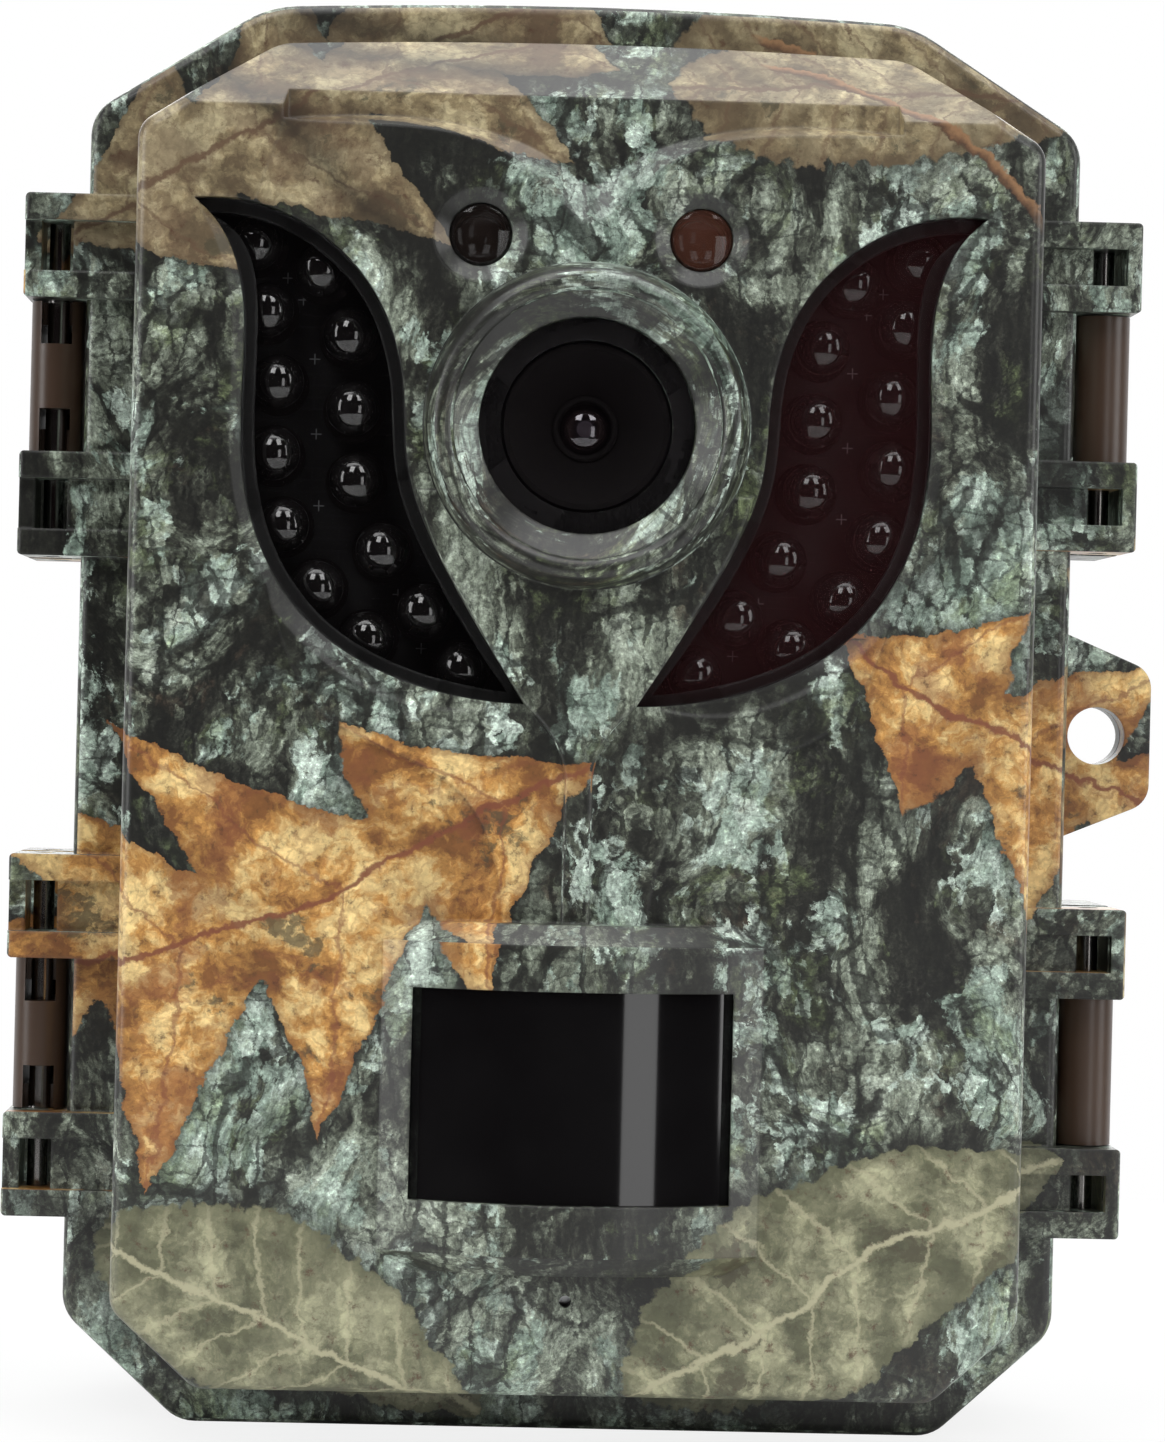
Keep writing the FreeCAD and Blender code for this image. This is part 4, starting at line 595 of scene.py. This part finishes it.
paint(glosses["clearLampEpoxy"], "light_sensor")
paint(glosses["redLampEpoxy"], "status_led")
paint(glosses["smokedLampEpoxy"], "ir_leds_left", "ir_leds_right")
paint(glosses["screenPrintInk"], "lens_mask_ring")
paint(glosses["sensorDie"], "image_sensor")
paint(glosses["sensorWindowFilm"], "pir_window")
paint(glosses["screenCover"], "screen_window")
paint(glosses["displayPanel"], "lcd_module")
paint(boards["blackSolderMask"], "led_board_left", "sensor_board")
paint(boards["maroonSolderMask"], "led_board_right")
paint(boards["greenSolderMask"], "main_board")
paint(lensElementGlass(lensValues), "lens_element")
print("materials made")


def newPiece(name, form, material, body):
    mesh = bpy.data.meshes.new(name)
    form.normal_update()
    form.to_mesh(mesh)
    form.free()
    piece = bpy.data.objects.new(name, mesh)
    bpy.context.scene.collection.objects.link(piece)
    for entry in material if isinstance(material, list) else [material]:
        mesh.materials.append(entry)
    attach(piece, body)
    return piece


def addPlate(form, low, high, taper=0.0):
    # a flat-sided block whose +Y face is smaller by taper
    corners = []
    for y, shrink in ((low[1], 0.0), (high[1], taper)):
        for x, z in ((low[0] + shrink, low[2] + shrink), (high[0] - shrink, low[2] + shrink),
                     (high[0] - shrink, high[2] - shrink), (low[0] + shrink, high[2] - shrink)):
            corners.append(form.verts.new((x, y, z)))
    for run in ((0, 1, 2, 3), (7, 6, 5, 4), (0, 4, 5, 1), (1, 5, 6, 2), (2, 6, 7, 3), (3, 7, 4, 0)):
        form.faces.new([corners[i] for i in run])


def addTurned(form, profile, centre, axis="Y", count=64):
    # a closed profile turned about an axis; its points are (radius, distance along the axis)
    rimAndPaintedPupil = []
    for i in range(count):
        angle = 2 * math.pi * i / count
        ring = []
        for radius, along in profile:
            a, b = radius * math.cos(angle), radius * math.sin(angle)
            offset = (a, along, b) if axis == "Y" else (a, b, along)
            ring.append(form.verts.new(Vector(centre) + Vector(offset)))
        rimAndPaintedPupil.append(ring)
    for i in range(count):
        near, far = rimAndPaintedPupil[i], rimAndPaintedPupil[(i + 1) % count]
        for k in range(len(profile)):
            n = (k + 1) % len(profile)
            form.faces.new((near[k], near[n], far[n], far[k])).smooth = True


def addSwept(form, points, radius, sides):
    # a round wire along points, with its frame carried from point to point
    rimAndPaintedPupil, across = [], None
    for i, point in enumerate(points):
        before, after = points[max(i - 1, 0)], points[min(i + 1, len(points) - 1)]
        ahead = (Vector(after) - Vector(before)).normalized()
        if across is None:
            across = ahead.orthogonal().normalized()
        across = (across - ahead * across.dot(ahead)).normalized()
        other = ahead.cross(across)
        ring = []
        for k in range(sides):
            angle = 2 * math.pi * k / sides
            spoke = across * math.cos(angle) + other * math.sin(angle)
            ring.append(form.verts.new(Vector(point) + radius * spoke))
        rimAndPaintedPupil.append(ring)
    for near, far in zip(rimAndPaintedPupil, rimAndPaintedPupil[1:]):
        for k in range(sides):
            n = (k + 1) % sides
            form.faces.new((near[k], near[n], far[n], far[k])).smooth = True
    form.faces.new(rimAndPaintedPupil[0][::-1])
    form.faces.new(rimAndPaintedPupil[-1])


# print marks on the lamp boards
markValues = {"arm": 0.5, "line": 0.05, "lift": 0.02,
              "places": [(26.4, 105.9), (25.2, 100.4), (24.9, 93.4), (24.5, 86.7), (22.6, 80.6),
                         (16.9, 78.6), (14.6, 73.6), (27.9, 107.9)]}
whiteInk = plastics["whiteLegendInk"]


def makeMarks(values):
    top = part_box("led_board_right")[0].y
    arm, line, lift = (values[key] * mm for key in ("arm", "line", "lift"))
    for side, name in ((1, "markPrintsRight"), (-1, "markPrintsLeft")):
        form = bmesh.new()
        for x, z in values["places"]:
            cx, cz = side * x * mm, z * mm
            addPlate(form, (cx - arm, top - lift, cz - line), (cx + arm, top, cz + line))
            addPlate(form, (cx - line, top - lift, cz - arm), (cx + line, top, cz + arm))
        newPiece(name, form, whiteInk, "door")


makeMarks(markValues)


# threaded ring that holds the lens element in its barrel
ringValues = {"outer": 3.05, "inner": 2.45, "chamfer": 0.2, "thick": 0.35, "lip": 0.105, "set": 3.4}


def makeLensRing(values):
    low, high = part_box("lens_barrel")
    centre = ((low.x + high.x) / 2, 0, (low.z + high.z) / 2)
    outer, inner, chamfer = (values[key] * mm for key in ("outer", "inner", "chamfer"))
    thick, lip = values["thick"] * mm, values["lip"] * mm
    face = low.y + values["set"] * mm
    form = bmesh.new()
    addTurned(form, [(outer, face), (outer, face + thick), (inner, face + thick),
                     (inner, face + lip), (inner + chamfer, face)], centre)
    newPiece("lensRetainer", form, barrelBlack, "door")


makeLensRing(ringValues)


# small round windows: a disc with a smooth polished crown
roundWindowValues = {"crown": 9.0, "rim": 2.75, "edge": 1.3, "chamfer": 0.1, "steps": 14}


def makeRoundWindow(values, name, title, material):
    low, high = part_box(name)
    centre = ((low.x + high.x) / 2, 0, (low.z + high.z) / 2)
    radius = (high.x - low.x) / 2
    crown, rim, edge, chamfer = (values[key] * mm for key in ("crown", "rim", "edge", "chamfer"))
    profile = []
    for i in range(values["steps"] + 1):
        reach = rim * i / values["steps"]
        profile.append((reach, low.y + crown - math.sqrt(crown ** 2 - reach ** 2)))
    front = max(high.y - edge, profile[-1][1])
    profile += [(radius - chamfer, front), (radius, front + chamfer), (radius, high.y), (0, high.y)]
    form = bmesh.new()
    addTurned(form, profile, centre)
    bmesh.ops.remove_doubles(form, verts=form.verts, dist=1e-7)
    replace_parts(newPiece(title, form, material, "door"), name)


makeRoundWindow(roundWindowValues, "light_sensor_window", "lightSensorDome",
                clears["smokedAcrylic"])
makeRoundWindow(roundWindowValues, "status_led_window", "statusDome", clears["redAcrylic"])


# coil springs and printed cell sleeves in the tray; each bay turns its cell the other way
trayValues = {"pitch": 15.2, "columns": 4, "bay": 54.0}
springValues = {"wire": 0.3, "turns": 3.2, "wide": 3.3, "narrow": 2.3, "room": 2.4, "seat": 0.55,
                "steps": 20, "sides": 8}
sleeveValues = {"radius": 7.14, "inner": 7.08, "band": 15.5, "lip": 0.8, "body": 49.2, "nub": 1.3,
                "plate": 0.5, "count": 48}


def cellPlaces(values):
    low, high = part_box("aa_cells")
    contactLow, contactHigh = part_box("battery_contacts")
    middle = (low.x + high.x) / 2
    y = (low.y + high.y) / 2
    cells = []
    for floor in (contactLow.z, contactHigh.z - values["bay"] * mm):
        for column in range(values["columns"]):
            x = middle + (column - (values["columns"] - 1) / 2) * values["pitch"] * mm
            cells.append((x, y, floor, column % 2 == 0))
    return cells


def makeSprings(values):
    wire, wide, narrow, room = (values[key] * mm for key in ("wire", "wide", "narrow", "room"))
    bay = trayValues["bay"] * mm
    form = bmesh.new()
    for x, y, floor, up in cellPlaces(trayValues):
        seat = floor + values["seat"] * mm if up else floor + bay - values["seat"] * mm
        grow = 1 if up else -1
        count = int(values["turns"] * values["steps"])
        points = []
        for i in range(count + 1):
            t = i / count
            angle = 2 * math.pi * values["turns"] * t
            radius = wide + (narrow - wide) * t
            rise = wire + t * (room - 2 * wire)
            points.append((x + radius * math.cos(angle), y + radius * math.sin(angle),
                           seat + grow * rise))
        addSwept(form, points, wire, values["sides"])
    coils = newPiece("contactCoils", form, metals["nickelPlate"], "rear")
    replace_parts(coils, "battery_springs")


def makeSleeves(values):
    outer, inner, band, lip = (values[key] * mm for key in ("radius", "inner", "band", "lip"))
    body, nub, plate = (values[key] * mm for key in ("body", "nub", "plate"))
    bay = trayValues["bay"] * mm
    dark, copper = 0, 1
    form = bmesh.new()
    for x, y, floor, up in cellPlaces(trayValues):
        start = floor + bay - plate - nub - body if up else floor + plate + nub
        cut = start + body - band if up else start + band
        for low, high, index in ((start + lip, cut, dark if up else copper),
                                 (cut, start + body - lip, copper if up else dark)):
            before = len(form.faces)
            addTurned(form, [(outer, low), (outer, high), (inner, high), (inner, low)],
                      (x, y, 0), "Z", values["count"])
            form.faces.ensure_lookup_table()
            for face in form.faces[before:]:
                face.material_index = index
    newPiece("cellSleeves", form, [glosses["cellSleeveDark"], glosses["cellSleeveCopper"]], "rear")


makeSprings(springValues)
makeSleeves(sleeveValues)


# thread in the tripod insert
threadValues = {"radius": 3.12, "pitch": 1.27, "start": 0.5, "depth": 9.0, "ridge": 0.28,
                "flank": 0.45, "steps": 40}


def makeThread(values):
    form = bmesh.new()
    count = int(values["depth"] / values["pitch"] * values["steps"])
    rows = []
    for i in range(count + 1):
        angle = 2 * math.pi * i / values["steps"]
        rise = values["start"] + values["pitch"] * i / values["steps"]
        row = []
        flank = values["flank"]
        for inward, lift in ((0.0, -flank), (values["ridge"], 0.0), (0.0, flank)):
            radius = (values["radius"] - inward) * mm
            row.append(form.verts.new((radius * math.cos(angle), radius * math.sin(angle),
                                       (rise + lift) * mm)))
        rows.append(row)
    for near, far in zip(rows, rows[1:]):
        for k in (0, 1):
            form.faces.new((near[k], near[k + 1], far[k + 1], far[k])).smooth = True
        form.faces.new((near[2], near[0], far[0], far[2]))
    form.faces.new(rows[0])
    form.faces.new(rows[-1][::-1])
    newPiece("socketThread", form, metals["turnedBrass"], "rear")


makeThread(threadValues)


# raised symbols on the keys: arrows, a ring and three bars
keyValues = {"size": 1.35, "sunk": 0.024, "proud": 0.048, "taper": 0.86, "ring": (1.2, 0.85),
             "barPitch": 0.85, "barHalf": 0.16, "count": 32,
             "turns": {"button_up": 90, "button_down": 270, "button_left": 0, "button_right": 180}}


def keyFace(key):
    low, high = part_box(key)
    return (low.x + high.x) / 2, high.y, (low.z + high.z) / 2


def makeKeyMarks(values):
    size, sunk, proud = (values[key] * mm for key in ("size", "sunk", "proud"))
    for key, turn in values["turns"].items():
        x, y, z = keyFace(key)
        angles = [math.radians(turn + 120 * k) for k in range(3)]
        form = bmesh.new()
        ring = []
        for level, reach in ((y - sunk, size), (y + proud, values["taper"] * size)):
            ring.append([form.verts.new((x + reach * math.cos(t), level, z + reach * math.sin(t)))
                         for t in angles])
        form.faces.new(ring[0])
        form.faces.new(ring[1][::-1])
        for k in range(3):
            n = (k + 1) % 3
            form.faces.new((ring[0][k], ring[1][k], ring[1][n], ring[0][n]))
        newPiece("mark_" + key, form, whiteInk, key)
    x, y, z = keyFace("button_ok")
    outer, inner = (radius * mm for radius in values["ring"])
    form = bmesh.new()
    addTurned(form, [(outer, y - sunk), (outer, y + proud), (inner, y + proud), (inner, y - sunk)],
              (x, 0, z), "Y", values["count"])
    newPiece("mark_button_ok", form, whiteInk, "button_ok")
    x, y, z = keyFace("button_menu")
    form = bmesh.new()
    for i in (-1, 0, 1):
        bar, thick = values["barPitch"] * i * mm, values["barHalf"] * mm
        addPlate(form, (x - size, y - sunk, z + bar - thick),
                 (x + size, y + proud, z + bar + thick))
    newPiece("mark_button_menu", form, whiteInk, "button_menu")


makeKeyMarks(keyValues)


# legend beside the mode switch
legendValues = {"size": 2.6, "thick": 0.03, "aside": 5.4, "words": {"ON": 3, "OFF": -3}}


def makeLegend(values):
    low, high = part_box("mode_switch_body")
    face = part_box("inner_panel")[1].y
    x = (low.x + high.x) / 2 - values["aside"] * mm
    for text, rise in values["words"].items():
        z = (low.z + high.z) / 2 + rise * mm
        name = "legend" + text.capitalize()
        curve = bpy.data.curves.new(name, "FONT")
        curve.body = text
        curve.size = values["size"] * mm
        curve.extrude = values["thick"] * mm
        curve.align_x = "CENTER"
        curve.align_y = "CENTER"
        curve.materials.append(whiteInk)
        word = bpy.data.objects.new(name, curve)
        word.matrix_world = Matrix(((-1, 0, 0, x), (0, 0, 1, face), (0, 1, 0, z), (0, 0, 0, 1)))
        bpy.context.scene.collection.objects.link(word)
        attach(word, "door")


makeLegend(legendValues)
print("pieces made")


# two softboxes over the camera, one each side, one above, a dim strip beside it, a fill behind
# size in metres, power in watts
lightValues = {
    "softboxLeft": {"place": (-0.24, -0.60, 0.70), "size": (0.26, 0.40), "power": 2.0},
    "softboxRight": {"place": (0.30, -0.56, 0.70), "size": (0.26, 0.40), "power": 1.8},
    "sideLeft": {"place": (-0.80, -0.35, 0.25), "size": (0.35, 0.60), "power": 2.8},
    "sideRight": {"place": (0.80, -0.35, 0.25), "size": (0.35, 0.60), "power": 2.4},
    "softboxTop": {"place": (0.0, -0.10, 0.90), "size": (1.1, 0.6), "power": 5.6},
    "stripRight": {"place": (0.262, -0.56, 0.05), "size": (0.13, 0.34), "power": 0.36},
    "fillBack": {"place": (0.0, 0.8, 0.5), "size": (0.9, 0.5), "power": 5.0},
}
aimPoint = (0, -0.02, 0.067)
worldValues = {"diffuse": "#7c7d80", "front": "#1b1415", "white": "#ffffff"}
floorValues = {"radius": 0.24, "colour": "#efefee", "glow": 0.85}


def makeLights():
    for name, values in lightValues.items():
        data = bpy.data.lights.new(name, "AREA")
        data.shape = "RECTANGLE"
        data.size, data.size_y = values["size"]
        data.energy = values["power"]
        lamp = bpy.data.objects.new(name, data)
        lamp.location = values["place"]
        lamp.rotation_euler = (Vector(aimPoint) - lamp.location).to_track_quat("-Z", "Y").to_euler()
        bpy.context.scene.collection.objects.link(lamp)


def makeWorld():
    # white behind and above, dim in front where the studio is dark
    world = bpy.data.worlds.new("studioWorld")
    bpy.context.scene.world = world
    world.use_nodes = True
    tree = world.node_tree
    node = partial(addNode, tree)
    way = node("TexCoord", out="Generated")
    behind = node("MapRange", node("SeparateXYZ", way, out=1), 0.0, 0.5)
    above = node("MapRange", node("SeparateXYZ", way, out=2), 0.75, 1.0)
    studio = node("MixRGB", node("Math", behind, above, operation="MAXIMUM"), worldValues["front"],
                  worldValues["white"])
    mirrored = node("Math", node("LightPath", out="Is Glossy Ray"),
                    node("LightPath", out="Is Transmission Ray"), operation="MAXIMUM")
    colour = node("MixRGB", mirrored, worldValues["diffuse"], studio)
    colour = node("MixRGB", node("LightPath", out="Is Camera Ray"), colour, worldValues["white"])
    tree.links.new(colour, tree.nodes["Background"].inputs["Color"])


def makeFloor(values):
    form = bmesh.new()
    bmesh.ops.create_circle(form, cap_ends=True, segments=96, radius=values["radius"])
    mesh = bpy.data.meshes.new("floor")
    form.to_mesh(mesh)
    form.free()
    floor = bpy.data.objects.new("floor", mesh)
    bpy.context.scene.collection.objects.link(floor)
    material, node, *_ = newMaterial("paleFloor", Roughness=0.8, Base_Color=values["colour"])
    tree = material.node_tree
    glow = node("Emission", "#ffffff", 1.0)
    seen = node("LightPath", out="Is Camera Ray")
    seen = node("Math", seen, values["glow"], operation="MULTIPLY")
    joined = node("MixShader", seen, tree.nodes["Principled BSDF"].outputs[0], glow)
    tree.links.new(joined, tree.nodes["Material Output"].inputs["Surface"])
    mesh.materials.append(material)


makeLights()
makeWorld()
makeFloor(floorValues)
bpy.context.scene.view_settings.view_transform = "Standard"
print("studio made")
